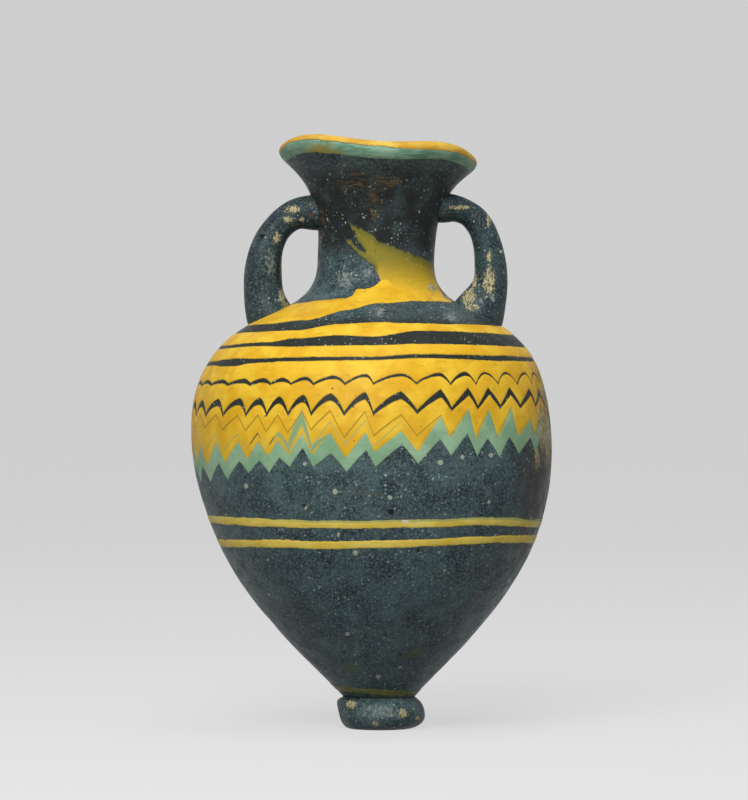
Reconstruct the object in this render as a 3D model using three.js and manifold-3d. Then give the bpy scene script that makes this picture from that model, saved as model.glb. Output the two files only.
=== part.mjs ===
// Amphoriskos: a small core-formed glass oil flask with two rod handles and a knob foot.
//
// The dark vessel wall is one hollow gather. Threads of yellow and turquoise glass were wound
// round it while it was hot, combed with a point, and rolled flush into it, so the wall has a
// seat for every thread. Handles and foot are separate gathers, pressed on last.
//
// Every piece is first shaped round an exact axis. One last step bends them all alike, because
// the real flask leans a little and its mouth is not level, and so every seat keeps its fit.
//
// Units are millimetres. +Z is up, the origin is the centre of the foot's underside, the handles
// lie along X, and the side with the smear on the neck faces -Y.

import * as THREE from 'three';
import { mergeVertices } from 'three/addons/utils/BufferGeometryUtils.js';
import Module from 'manifold-3d';

const library = await Module();
library.setup();

// Outline of the body, from the foot seam up: each rise is to the next widest or narrowest place
const FOOT_HEIGHT = 4.4;
const WAIST_RADIUS = 5.15;
const BELLY_RISE = 36;
const BELLY_RADIUS = 25.3;
const SHOULDER_RISE = 25;
const NECK_RADIUS = 8.1;
const MOUTH_RISE = 14.75;
const MOUTH_RADIUS = 13.7;

// How full the outline is drawn at each of those places, as lengths of its curve handles
const BASE_FLARE_OUT = 4.95;
const BASE_FLARE_UP = 5.85;
const LOWER_FULLNESS = 19.2;
const SHOULDER_FULLNESS = 21.4;
const NECK_FALL = 10.3;
const NECK_LIFT = 12.2;
const MOUTH_FLARE = 1.95;

// Thickness of the glass
const BASE_WALL = 4.0;
const BELLY_WALL = 2.8;
const NECK_WALL = 2.9;
const LIP_WALL = 1.9;
const TIP_DEPTH = 1.2;
const FLOOR_DIP = 0.4;

// Foot
const FOOT_BULGE_RADIUS = 6.3;
const FOOT_BULGE_HEIGHT = 2.85;
const FOOT_FLAT_RADIUS = 4.2;
const FOOT_HEEL = 0.95;
const FOOT_FLANK = 1.5;

// Threads
const THREAD_DEPTH = 0.9;
const LOWER_THREAD_WIDTH = 1.2;
const BASE_TRAIL_WIDTH = 0.9;
const BASE_TRAIL_DEPTH = 0.5;
const BASE_TRAIL_RISE = 1.15;
const BASE_TRAIL_SLANT = 0.45;
const LIP_THREAD_DEPTH = 0.45;
const LIP_YELLOW_WIDTH = 0.3;
const LIP_TURQUOISE_WIDTH = 1.5;
const LIP_BARE_INSIDE = 0.4;

// Clearances between a piece and its seat
const INLAY_GAP = 0.15;
const COMBED_GAP = 0.2;
const SEAT_FLOOR_GAP = 0.3;
const HANDLE_GAP = 0.12;
const FOOT_GAP = 0.12;

// Handles
const HANDLE_ROOT_DEPTH = 2.4;
const HANDLE_BREADTH = 1.12;

// How the hand-made flask strays from its axis
const SWAY = 0.8;
const SWAY_HEIGHT = 46;
const SWAY_SPREAD = 12.6;
const BOW = 0.45;
const MOUTH_TILT = 0.078;
const MOUTH_BACK_TILT = 0.044;
const MOUTH_WAVE = 0.38;
const FOOT_TILT = 0.09;
const FOOT_SHIFT = 0.25;

// Facets
const FOOT_STEPS = 28;
const HANDLE_SIDES = 12;
const HANDLE_STEPS = 20;

const BELLY_HEIGHT = FOOT_HEIGHT + BELLY_RISE;
const NECK_HEIGHT = BELLY_HEIGHT + SHOULDER_RISE;
const MOUTH_HEIGHT = NECK_HEIGHT + MOUTH_RISE;
const TURN = 360;
const DEGREE = Math.PI / 180;

// Comb strokes, in degrees round the axis from the front, positive towards the right handle.
// The ones in front are as the hand drew them, the rest follow at an even pace.
const FRONT_STROKES = [-64.4, -53.9, -43.4, -34.9, -26.8, -19, -8.1, 0.8, 15.2, 26.2, 36.3, 46.1, 55.9];
const BACK_STROKES = 23;

// Tables of the decoration. "wound" is degrees wound round the flask since the right handle,
// towards the front and on to the left handle. Heights are above the widest place of the belly.

// The dark line of wall glass under each turn of the yellow thread: wound, height of its middle,
// width, and how far the comb drew it up and down.
const DARK_LINE = [
  [0, 17.5, 3.2, 0], [57, 17.6, 3.2, 0], [90, 17.5, 2.6, 0], [106, 16.9, 1.9, 0], [123, 15.8, 1.3, 0],
  [150, 15.5, 1.0, 0], [215, 15.1, 0.9, 0], [330, 14.1, 1.4, 0],
  [374, 13.8, 1.6, 0], [432, 14.1, 1.7, 0], [450, 13.6, 1.1, 0], [464, 13.65, 1.3, 0], [480, 13.4, 1.0, 0],
  [494, 13.2, 0.5, 0], [528, 12.9, 0.5, 0], [600, 12.3, 0.5, 0], [700, 11.4, 0.5, 0],
  [734, 11.2, 0.5, 0], [761, 11.3, 0.8, 0], [793, 11.5, 0.6, 0], [810, 11.2, 0.5, 0], [840, 11.1, 0.7, 0],
  [863, 10.8, 0.9, 0], [884, 10.6, 1.1, 0], [960, 9.8, 0.5, 0], [1050, 8.8, 0.45, 0.3],
  [1094, 8.55, 0.45, 0.55], [1170, 8.3, 0.45, 0.4], [1215, 7.95, 0.45, 0.3], [1260, 7.8, 0.45, 0.3],
  [1350, 6.9, 0.6, 0.6], [1420, 6.0, 0.75, 0.9],
  [1454, 5.8, 0.75, 0.9], [1490, 5.7, 0.75, 1.1], [1530, 4.95, 0.75, 1.3], [1575, 4.45, 0.75, 1.0],
  [1610, 4.2, 0.75, 0.9], [1740, 3.6, 0.75, 0.6],
];

// Upper edge of the first turn of the yellow thread: wound, height
const FIRST_TURN_TOP = [
  [24, 19.6], [40, 20.2], [75, 22.2], [82, 22.6], [86, 22.2], [92, 21.5], [98, 21.1], [107, 20.4],
  [115, 19.8], [131, 19.5], [150, 19.1],
  [200, 18.3], [270, 16.9], [345, 16.0], [384, 15.9],
];

// Where the last turn of the yellow thread meets the turquoise one: wound, height, comb swing
const YELLOW_HEM = [
  [-60, 2.7, 0.5], [-30, 2.8, 1.4], [14, 2.5, 1.8], [31, 2.4, 1.9], [41, 2.4, 2.0], [51, 2.2, 1.95], [59, 2.3, 1.95],
  [65, 2.0, 1.6], [68, 1.5, 1.7], [76, 0.25, 1.8], [81, -0.1, 1.4], [89, -0.2, 1.35], [98, -0.6, 1.75],
  [109, -0.5, 1.5], [117, -0.8, 1.15], [124, -1.1, 1.0], [132, -1.4, 1.2], [144, -1.7, 1.5], [156, -1.9, 1.65],
  [174, -1.9, 1.5], [215, -1.7, 1.1], [250, -0.7, 0.8], [290, 2.3, 0.4], [300, 2.7, 0.3],
];

// Lower border of the whole combed band: wound, height, comb swing
const BAND_HEM = [
  [-60, 2.2, 0.4], [-25, 0.9, 0.8], [14, -0.8, 1.1], [37, -0.8, 1.15], [47, -1.05, 1.3], [59, -0.7, 1.45],
  [65, -0.85, 1.3], [69, -1.2, 1.3], [76, -1.75, 1.4], [81, -1.95, 1.4], [90, -2.5, 1.2], [98, -2.95, 1.35],
  [103, -2.9, 1.15], [112, -2.4, 1.25], [116, -2.7, 0.9], [124, -3.6, 0.9], [133, -3.75, 0.85], [143, -4.3, 1.1],
  [154, -4.8, 1.2], [174, -4.8, 1.2], [215, -3.8, 1.0], [250, -1.4, 0.7], [290, 1.9, 0.4], [300, 2.2, 0.4],
];

// Upper border of the seat that the turns share below the first one: wound, height
const BAND_TOP = [
  [0, 15.9], [57, 16.0], [90, 16.2], [106, 15.95], [123, 15.15], [150, 15.0], [180, 14.8], [205, 18.2],
  [270, 16.9], [345, 16.0], [360, 15.9],
];

// The smear with which the yellow thread begins on the neck: wound, lower and upper edge
const NECK_SMEAR = [
  [-14, 23.3, 23.8], [0, 22.7, 24.4], [16, 21.2, 24.9], [28, 19.3, 25.1], [45, 19.3, 25.6], [64, 19.3, 26.3],
  [77, 19.3, 27.0], [81, 22.2, 27.2], [87, 23.5, 27.5], [97, 24.7, 28.2], [107, 25.7, 29.3], [119, 27.3, 30.2],
  [123, 27.8, 29.8],
];

// The two plain threads low on the body: wound, height of the middle
const UPPER_RING = [
  [15, -11.5], [52, -10.9], [75, -11.05], [104, -11.15], [136, -11.05], [167, -10.95], [270, -11.2], [375, -11.5],
];
const LOWER_RING = [
  [5, -13.8], [45, -13.4], [87, -13.8], [105, -14.0], [127, -13.9], [173, -14.3], [270, -14.2], [365, -13.8],
];

// Each handle leaves the neck, bends over and stands on the shoulder. Its roots are heights above
// the neck's narrowest and the belly's widest place, with the thickness there. The places between
// are out and up from the neck root (bend) or the shoulder root (shank), with their thickness.
const LEFT_HANDLE = {
  side: -1,
  neckRoot: [6.85, 4.9],
  bend: [[2.8, -0.3, 4.2], [5.05, -1.8, 4.0], [6.6, -4.35, 4.5]],
  shank: [[1.2, 6.3, 5.2], [0.85, 2.7, 5.6]],
  shoulderRoot: [17.55, 6.4],
};
const RIGHT_HANDLE = {
  side: 1,
  neckRoot: [7.75, 4.7],
  bend: [[2.0, -0.18, 4.1], [4.08, -1.25, 3.7], [5.7, -3.45, 3.75]],
  shank: [[1.33, 7.7, 4.35], [1.45, 4.2, 5.0]],
  shoulderRoot: [17.7, 7.6],
};

function between(rows, place, column) {
  // Value of one column of a table at a place between its rows
  const last = rows.length - 1;
  if (place <= rows[0][0]) return rows[0][column];
  if (place >= rows[last][0]) return rows[last][column];
  const next = rows.findIndex((row) => row[0] > place);
  const share = (place - rows[next - 1][0]) / (rows[next][0] - rows[next - 1][0]);
  return THREE.MathUtils.lerp(rows[next - 1][column], rows[next][column], share);
}

function betweenRound(rows, wound, column) {
  // The same for a table that goes once round the flask
  const first = rows[0][0];
  return between(rows, first + THREE.MathUtils.euclideanModulo(wound - first, TURN), column);
}

// Outline of the outer wall, as places along it measured from the foot seam

function bodyOutline() {
  const path = new THREE.Path();
  path.moveTo(WAIST_RADIUS, FOOT_HEIGHT);
  path.bezierCurveTo(
    WAIST_RADIUS + BASE_FLARE_OUT, FOOT_HEIGHT + BASE_FLARE_UP,
    BELLY_RADIUS, BELLY_HEIGHT - LOWER_FULLNESS,
    BELLY_RADIUS, BELLY_HEIGHT);
  path.bezierCurveTo(
    BELLY_RADIUS, BELLY_HEIGHT + SHOULDER_FULLNESS,
    NECK_RADIUS, NECK_HEIGHT - NECK_FALL,
    NECK_RADIUS, NECK_HEIGHT);
  path.bezierCurveTo(
    NECK_RADIUS, NECK_HEIGHT + NECK_LIFT,
    MOUTH_RADIUS, MOUTH_HEIGHT - MOUTH_FLARE,
    MOUTH_RADIUS, MOUTH_HEIGHT);
  return path;
}

const outline = bodyOutline();
const MOUTH_ALONG = outline.getLength();
const LIP_ALONG = MOUTH_ALONG + Math.PI * LIP_WALL / 2;

function lipPoint(along) {
  // The lip is a half round from the outside of the mouth over to its inside
  const angle = (along - MOUTH_ALONG) / (LIP_WALL / 2);
  const normal = new THREE.Vector2(Math.cos(angle), Math.sin(angle));
  const centre = new THREE.Vector2(MOUTH_RADIUS - LIP_WALL / 2, MOUTH_HEIGHT);
  return { point: centre.addScaledVector(normal, LIP_WALL / 2), normal };
}

function outlinePoint(along) {
  if (along > MOUTH_ALONG) return lipPoint(along);
  const share = THREE.MathUtils.clamp(along / MOUTH_ALONG, 0, 1);
  const tangent = outline.getTangent(share);
  return { point: outline.getPoint(share), normal: new THREE.Vector2(tangent.y, -tangent.x) };
}

function offsetPoint(along, level) {
  const { point, normal } = outlinePoint(along);
  return point.clone().addScaledVector(normal, level);
}

function alongAt(height) {
  let low = 0;
  let high = MOUTH_ALONG;
  for (let step = 0; step < 30; step += 1) {
    const middle = (low + high) / 2;
    if (outlinePoint(middle).point.y < height) low = middle;
    else high = middle;
  }
  return (low + high) / 2;
}

function alongOnBody(rise) {
  return alongAt(BELLY_HEIGHT + rise);
}

function wallThickness(height) {
  const { lerp, smoothstep } = THREE.MathUtils;
  const belly = lerp(BASE_WALL, BELLY_WALL, smoothstep(height, FOOT_HEIGHT, BELLY_HEIGHT));
  const neck = lerp(belly, NECK_WALL, smoothstep(height, BELLY_HEIGHT, NECK_HEIGHT));
  return lerp(neck, LIP_WALL, smoothstep(height, NECK_HEIGHT, MOUTH_HEIGHT));
}

// Solids

function toSolid(positions, triangles) {
  // Points that coincide become one, and triangles that this closes up are left out
  const geometry = new THREE.BufferGeometry();
  geometry.setAttribute('position', new THREE.Float32BufferAttribute(positions, 3));
  geometry.setIndex(triangles);
  const merged = mergeVertices(geometry, 1e-4);
  const index = Array.from(merged.index.array);
  const kept = [];
  for (let corner = 0; corner < index.length; corner += 3) {
    const [a, b, c] = index.slice(corner, corner + 3);
    if (a !== b && b !== c && c !== a) kept.push(a, b, c);
  }
  return new library.Manifold(new library.Mesh({
    numProp: 3,
    vertProperties: merged.attributes.position.array,
    triVerts: new Uint32Array(kept),
  }));
}

function loft(rings, closed = false) {
  // Skin over rings of equally many points, with flat ends unless the last ring meets the first
  const sides = rings[0].length;
  const positions = rings.flat().flatMap((point) => point.toArray());
  const triangles = [];
  const spans = closed ? rings.length : rings.length - 1;
  for (let ring = 0; ring < spans; ring += 1) {
    const here = ring * sides;
    const there = ((ring + 1) % rings.length) * sides;
    for (let side = 0; side < sides; side += 1) {
      const next = (side + 1) % sides;
      triangles.push(here + side, here + next, there + next);
      triangles.push(here + side, there + next, there + side);
    }
  }
  if (!closed) {
    const last = (rings.length - 1) * sides;
    for (let side = 1; side < sides - 1; side += 1) {
      triangles.push(0, side + 1, side);
      triangles.push(last, last + side, last + side + 1);
    }
  }
  return toSolid(positions, triangles);
}

function standing(point, wound) {
  // A point of the outline, given as radius and height, stood up at a place round the flask
  const angle = (90 - wound) * DEGREE;
  return new THREE.Vector3(point.x * Math.sin(angle), -point.x * Math.cos(angle), point.y);
}

function turned(profile, steps) {
  const rings = Array.from({ length: steps }, (_, step) => (
    profile.map((point) => standing(point, TURN * step / steps))));
  return loft(rings, true);
}

// Places round the flask: the lowest point of each comb stroke and the highest between two

const combTurns = allCombTurns();

function allCombTurns() {
  const first = FRONT_STROKES[0];
  const last = FRONT_STROKES[FRONT_STROKES.length - 1];
  const pace = (TURN - (last - first)) / (BACK_STROKES + 1);
  const back = Array.from({ length: BACK_STROKES }, (_, place) => last + pace * (place + 1));
  const strokes = [...FRONT_STROKES, ...back, first + TURN];
  return strokes.slice(0, -1).flatMap((degrees, place) => [
    { degrees, swing: -1 },
    { degrees: (degrees + strokes[place + 1]) / 2, swing: 1 },
  ]);
}

function combedPlaces(from, to) {
  const places = [];
  for (let turn = Math.floor(from / TURN) - 1; turn <= Math.ceil(to / TURN) + 1; turn += 1) {
    for (const { degrees, swing } of combTurns) {
      const wound = 90 - degrees + TURN * turn;
      if (wound >= from && wound < to) places.push({ wound, swing });
    }
  }
  return places.sort((a, b) => a.wound - b.wound);
}

function plainPlaces(from, to) {
  return combedPlaces(from, to).filter(({ swing }) => swing < 0);
}

// Threads, as bands between a lower and an upper place along the outline

function bandRing({ wound, low, high }, rows, { grown = 0, depth, proud = 0 }) {
  const stops = Array.from({ length: rows + 1 }, (_, row) => (
    THREE.MathUtils.lerp(low - grown, high + grown, row / rows)));
  const outer = stops.map((along) => standing(offsetPoint(along, proud), wound));
  const inner = stops.reverse().map((along) => standing(offsetPoint(along, -depth), wound));
  return [...outer, ...inner];
}

function band(sections, rows, shape, closed = false) {
  return loft(sections.map((section) => bandRing(section, rows, shape)), closed);
}

function firstTurnLow(wound) {
  return between(DARK_LINE, wound, 1) + between(DARK_LINE, wound, 2) / 2;
}

const THREAD_START = FIRST_TURN_TOP[0][0];
const FIRST_TURN_END = FIRST_TURN_TOP[FIRST_TURN_TOP.length - 1][0];
const COMB_START = 3 * TURN;
const LAST_TURN_START = 5 * TURN + 14;
const THREAD_END = 6 * TURN - 65;
const OWN_GROOVE_END = 215;
const TURQUOISE_START = -60;
const TURQUOISE_END = 252;

function yellowSections() {
  // One thread wound six times round the shoulder, plain at first and combed lower down
  const places = [...plainPlaces(THREAD_START, COMB_START), ...combedPlaces(COMB_START, THREAD_END)];
  return places.map(({ wound, swing }) => {
    const lineEdge = (at, side) => between(DARK_LINE, at, 1) + swing * between(DARK_LINE, at, 3)
      + side * between(DARK_LINE, at, 2) / 2;
    const high = wound < FIRST_TURN_END ? between(FIRST_TURN_TOP, wound, 1) : lineEdge(wound - TURN, -1);
    const hem = betweenRound(YELLOW_HEM, wound, 1) + swing * betweenRound(YELLOW_HEM, wound, 2);
    const low = wound < LAST_TURN_START ? lineEdge(wound, 1) : hem;
    return { wound, low: alongOnBody(low), high: alongOnBody(high) };
  });
}

function smearSections() {
  const first = NECK_SMEAR[0][0];
  const last = NECK_SMEAR[NECK_SMEAR.length - 1][0];
  return combedPlaces(first, last).map(({ wound }) => (
    { wound, low: alongOnBody(between(NECK_SMEAR, wound, 1)), high: alongOnBody(between(NECK_SMEAR, wound, 2)) }));
}

function shoulderThread() {
  const shape = { depth: THREAD_DEPTH };
  return band(yellowSections(), 1, shape).add(band(smearSections(), 2, shape));
}

function firstTurnGroove() {
  const shape = { grown: COMBED_GAP, depth: THREAD_DEPTH + SEAT_FLOOR_GAP, proud: THREAD_DEPTH };
  const firstTurn = yellowSections().filter(({ wound }) => wound < OWN_GROOVE_END);
  return band(firstTurn, 1, shape).add(band(smearSections(), 2, shape));
}

function turquoiseThread() {
  const sections = combedPlaces(TURQUOISE_START, TURQUOISE_END).map(({ wound, swing }) => ({
    wound,
    low: alongOnBody(between(BAND_HEM, wound, 1) + swing * between(BAND_HEM, wound, 2)),
    high: alongOnBody(between(YELLOW_HEM, wound, 1) + swing * between(YELLOW_HEM, wound, 2)) - COMBED_GAP,
  }));
  return band(sections, 1, { depth: THREAD_DEPTH });
}

// Rings that go once round and have a seat of their own in the wall

function ringEdges(middle, width) {
  return { low: middle - width / 2, high: middle + width / 2 };
}

function lowerRingEdges(rows, wound) {
  return ringEdges(alongOnBody(betweenRound(rows, wound, 1)), LOWER_THREAD_WIDTH);
}

function baseTrailEdges(wound) {
  const middle = alongAt(FOOT_HEIGHT + BASE_TRAIL_RISE - BASE_TRAIL_SLANT * Math.cos(wound * DEGREE));
  return ringEdges(middle, BASE_TRAIL_WIDTH);
}

const LIP_YELLOW_LOW = MOUTH_ALONG - LIP_YELLOW_WIDTH;
const LIP_YELLOW = { low: LIP_YELLOW_LOW, high: LIP_ALONG - LIP_BARE_INSIDE };
const LIP_TURQUOISE = { low: LIP_YELLOW_LOW - INLAY_GAP - LIP_TURQUOISE_WIDTH, high: LIP_YELLOW_LOW - INLAY_GAP };

function ring(edgesAt, places, rows, depth) {
  return band(places.map(({ wound }) => ({ wound, ...edgesAt(wound) })), rows, { depth }, true);
}

// Vessel wall

function spread(from, to, count) {
  // Places between two others, without those two
  return Array.from({ length: count }, (_, step) => THREE.MathUtils.lerp(from, to, (step + 1) / (count + 1)));
}

function seatRows({ low, high }, gap, depth, floorRows) {
  // The wall steps in at the lower edge of a seat, follows its floor and steps out again
  const start = low - gap;
  const end = high + gap;
  return [
    [start, 0], [start, -depth],
    ...spread(start, end, floorRows).map((along) => [along, -depth]),
    [end, -depth], [end, 0],
  ];
}

function bandSeat(wound, swing) {
  const hem = betweenRound(BAND_HEM, wound, 1) + swing * betweenRound(BAND_HEM, wound, 2);
  return { low: alongOnBody(hem), high: alongOnBody(betweenRound(BAND_TOP, wound, 1)) };
}

function wallSection(wound, swing) {
  // Section of the wall at one place round the flask, from the tip on the axis up the outside,
  // over the lip, down the inside and back to the axis
  const base = seatRows(baseTrailEdges(wound), INLAY_GAP, BASE_TRAIL_DEPTH + INLAY_GAP, 0);
  const lowRing = seatRows(lowerRingEdges(LOWER_RING, wound), INLAY_GAP, THREAD_DEPTH + INLAY_GAP, 0);
  const highRing = seatRows(lowerRingEdges(UPPER_RING, wound), INLAY_GAP, THREAD_DEPTH + INLAY_GAP, 0);
  const shoulder = seatRows(bandSeat(wound, swing), COMBED_GAP, THREAD_DEPTH + SEAT_FLOOR_GAP, 3);
  const lip = seatRows({ low: LIP_TURQUOISE.low, high: LIP_YELLOW.high }, INLAY_GAP, LIP_THREAD_DEPTH + INLAY_GAP, 4);
  const startOf = (rows) => rows[0][0];
  const endOf = (rows) => rows[rows.length - 1][0];
  const bare = (from, to, count) => spread(from, to, count).map((along) => [along, 0]);
  const outside = [
    [0, 0],
    ...base, ...bare(endOf(base), startOf(lowRing), 3),
    ...lowRing,
    ...highRing, ...bare(endOf(highRing), startOf(shoulder), 1),
    ...shoulder, ...bare(endOf(shoulder), startOf(lip), 7),
    ...lip, [LIP_ALONG, 0],
  ].map(([along, level]) => offsetPoint(along, level));
  const insideRows = 10;
  const inside = Array.from({ length: insideRows }, (_, row) => {
    const along = MOUTH_ALONG * (insideRows - 1 - row) / insideRows;
    return offsetPoint(along, -wallThickness(outlinePoint(along).point.y));
  });
  const tip = new THREE.Vector2(0, FOOT_HEIGHT - TIP_DEPTH);
  const floor = new THREE.Vector2(0, inside[insideRows - 1].y - FLOOR_DIP);
  return [tip, ...outside, ...inside, floor].map((point) => standing(point, wound));
}

function vesselWall() {
  const sections = combedPlaces(0, TURN).map(({ wound, swing }) => wallSection(wound, swing));
  return loft(sections, true).subtract(firstTurnGroove());
}

// Foot and handles

function footPad() {
  const seatEdge = new THREE.Vector2(WAIST_RADIUS, FOOT_HEIGHT - FOOT_GAP);
  const seatCentre = new THREE.Vector2(0, FOOT_HEIGHT - TIP_DEPTH - FOOT_GAP);
  const outside = new THREE.Path();
  outside.moveTo(FOOT_FLAT_RADIUS, 0);
  outside.bezierCurveTo(
    FOOT_FLAT_RADIUS + FOOT_HEEL, 0,
    FOOT_BULGE_RADIUS, FOOT_BULGE_HEIGHT - FOOT_FLANK,
    FOOT_BULGE_RADIUS, FOOT_BULGE_HEIGHT);
  outside.quadraticCurveTo(FOOT_BULGE_RADIUS, seatEdge.y, seatEdge.x, seatEdge.y);
  return turned([new THREE.Vector2(0, 0), ...outside.getPoints(4), seatCentre], FOOT_STEPS);
}

function wallBlock(gap) {
  // The whole space inside the outer wall, grown by a gap
  const rows = [0, ...spread(0, MOUTH_ALONG, 22), MOUTH_ALONG];
  const outside = rows.map((along) => offsetPoint(along, gap));
  return turned([new THREE.Vector2(0, 0), ...outside, new THREE.Vector2(0, MOUTH_HEIGHT)], 72);
}

function handle(shape) {
  const [neckRise, neckThickness] = shape.neckRoot;
  const [shoulderRise, shoulderThickness] = shape.shoulderRoot;
  const neck = outlinePoint(alongAt(NECK_HEIGHT + neckRise)).point;
  const shoulderAlong = alongOnBody(shoulderRise);
  const shoulder = offsetPoint(shoulderAlong, 0);
  const buried = offsetPoint(shoulderAlong, -HANDLE_ROOT_DEPTH);
  const from = (root, [out, up, thickness]) => [root.x + out, root.y + up, thickness];
  const line = [
    from(neck, [-HANDLE_ROOT_DEPTH, 0, neckThickness]), from(neck, [0, 0, neckThickness]),
    ...shape.bend.map((place) => from(neck, place)), ...shape.shank.map((place) => from(shoulder, place)),
    from(shoulder, [0, 0, shoulderThickness]), from(buried, [0, 0, shoulderThickness]),
  ];
  // The curve's y holds the thickness, so that it swells as smoothly as the line bends
  const curve = new THREE.CatmullRomCurve3(
    line.map(([out, up, thickness]) => new THREE.Vector3(shape.side * out, thickness, up)), false, 'centripetal');
  const across = new THREE.Vector3(0, 1, 0);
  const rings = Array.from({ length: HANDLE_STEPS + 1 }, (_, step) => {
    const place = curve.getPoint(step / HANDLE_STEPS);
    const ahead = curve.getTangent(step / HANDLE_STEPS).setY(0).normalize();
    const outwards = new THREE.Vector3().crossVectors(across, ahead);
    const half = place.y / 2;
    return Array.from({ length: HANDLE_SIDES }, (_, side) => {
      const angle = 2 * Math.PI * side / HANDLE_SIDES;
      return place.clone().setY(0)
        .addScaledVector(outwards, half * Math.cos(angle))
        .addScaledVector(across, half * HANDLE_BREADTH * Math.sin(angle));
    });
  });
  return loft(rings).subtract(wallBlock(HANDLE_GAP));
}

// The stray of the hand-made flask, given alike to every piece

function handmade(x, y, z) {
  const sway = SWAY * Math.exp(-(((z - SWAY_HEIGHT) / SWAY_SPREAD) ** 2));
  const bow = BOW * Math.sin(Math.PI * THREE.MathUtils.clamp(z / MOUTH_HEIGHT, 0, 1));
  const mouth = THREE.MathUtils.smoothstep(z, NECK_HEIGHT + 5, MOUTH_HEIGHT);
  const wave = MOUTH_WAVE * Math.cos(4 * Math.atan2(x, y));
  const foot = Math.sin(Math.PI * THREE.MathUtils.clamp(z / FOOT_HEIGHT, 0, 1));
  const lift = -mouth * (wave + MOUTH_TILT * x + MOUTH_BACK_TILT * y) - foot * FOOT_TILT * x;
  return [x - sway - bow + foot * FOOT_SHIFT, y, z + lift];
}

const GLASS = {
  blue: { color: 0x2d4250, roughness: 0.42 },
  yellow: { color: 0xeebc34, roughness: 0.38 },
  turquoise: { color: 0x7db496, roughness: 0.42 },
  olive: { color: 0x787832, roughness: 0.48 },
};

const flask = new THREE.Group();

function addPiece(name, solid, glass) {
  const { vertProperties, triVerts } = solid.getMesh();
  const geometry = new THREE.BufferGeometry();
  const positions = [];
  for (let corner = 0; corner < vertProperties.length; corner += 3) {
    positions.push(...handmade(...vertProperties.slice(corner, corner + 3)));
  }
  geometry.setAttribute('position', new THREE.Float32BufferAttribute(positions, 3));
  geometry.setIndex(Array.from(triVerts));
  const material = new THREE.MeshStandardMaterial({ ...glass, metalness: 0, flatShading: true });
  const mesh = new THREE.Mesh(geometry, material);
  mesh.name = name;
  flask.add(mesh);
}

const everyPlace = combedPlaces(0, TURN);
const everyOtherPlace = plainPlaces(0, TURN);

addPiece('vessel_wall', vesselWall(), GLASS.blue);
addPiece('foot_pad', footPad(), GLASS.blue);
addPiece('handle_left', handle(LEFT_HANDLE), GLASS.blue);
addPiece('handle_right', handle(RIGHT_HANDLE), GLASS.blue);
addPiece('lip_trail_yellow', ring(() => LIP_YELLOW, everyOtherPlace, 3, LIP_THREAD_DEPTH), GLASS.yellow);
addPiece('lip_trail_turquoise', ring(() => LIP_TURQUOISE, everyOtherPlace, 1, LIP_THREAD_DEPTH), GLASS.turquoise);
addPiece('shoulder_thread_yellow', shoulderThread(), GLASS.yellow);
addPiece('belly_thread_turquoise', turquoiseThread(), GLASS.turquoise);
addPiece('lower_thread_upper',
  ring((wound) => lowerRingEdges(UPPER_RING, wound), everyPlace, 1, THREAD_DEPTH), GLASS.yellow);
addPiece('lower_thread_lower',
  ring((wound) => lowerRingEdges(LOWER_RING, wound), everyPlace, 1, THREAD_DEPTH), GLASS.yellow);
addPiece('base_trail_olive', ring(baseTrailEdges, everyOtherPlace, 1, BASE_TRAIL_DEPTH), GLASS.olive);

export default flask;
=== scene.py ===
# %% [markdown]
# A small amphoriskos, dressed for the camera
#
# This lesson rebuilds the surface of an ancient glass oil flask. The flask was wound on a core:
# dark glass first, then threads of yellow and turquoise laid round it while it was hot, combed
# with a point and rolled flush. The frame that is loaded here already holds every piece as a
# plain solid at its real size. What is made below takes the place of those solids, with finer
# curves and with the finish that burial gave the glass.

# %% Load the frame
import bpy, bmesh, math
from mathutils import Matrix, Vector, noise


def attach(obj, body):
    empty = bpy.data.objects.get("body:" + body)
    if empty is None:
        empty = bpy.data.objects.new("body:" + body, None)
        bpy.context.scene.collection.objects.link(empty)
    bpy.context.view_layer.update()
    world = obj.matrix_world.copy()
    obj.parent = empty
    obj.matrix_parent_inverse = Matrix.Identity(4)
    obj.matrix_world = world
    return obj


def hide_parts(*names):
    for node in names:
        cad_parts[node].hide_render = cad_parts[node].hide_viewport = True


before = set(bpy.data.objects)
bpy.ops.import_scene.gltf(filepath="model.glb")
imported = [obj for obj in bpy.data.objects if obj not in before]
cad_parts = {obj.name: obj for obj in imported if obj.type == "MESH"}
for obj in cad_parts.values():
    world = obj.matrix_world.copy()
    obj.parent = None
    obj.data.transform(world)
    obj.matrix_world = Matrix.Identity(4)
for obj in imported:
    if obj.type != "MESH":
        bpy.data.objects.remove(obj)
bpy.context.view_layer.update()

# %% [markdown]
# Sizes
#
# All sizes are those of the solids, in millimetres, and become metres as each point is placed.
# The outline is three curves, from the foot seam out to the belly, in to the neck and out again
# to the mouth. Working along one outline has a reward: a thread on the wall only needs to know
# how far along the outline it lies and how far round the flask.

# %% Sizes of the body
MM = 0.001
FOOT_HEIGHT = 4.4
WAIST_RADIUS = 5.15
BELLY_HEIGHT = FOOT_HEIGHT + 36
BELLY_RADIUS = 25.3
NECK_HEIGHT = BELLY_HEIGHT + 25
NECK_RADIUS = 8.1
MOUTH_HEIGHT = NECK_HEIGHT + 14.75
MOUTH_RADIUS = 13.7
LIP_WALL = 1.9
BASE_WALL, BELLY_WALL, NECK_WALL = 4.0, 2.8, 2.9

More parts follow.
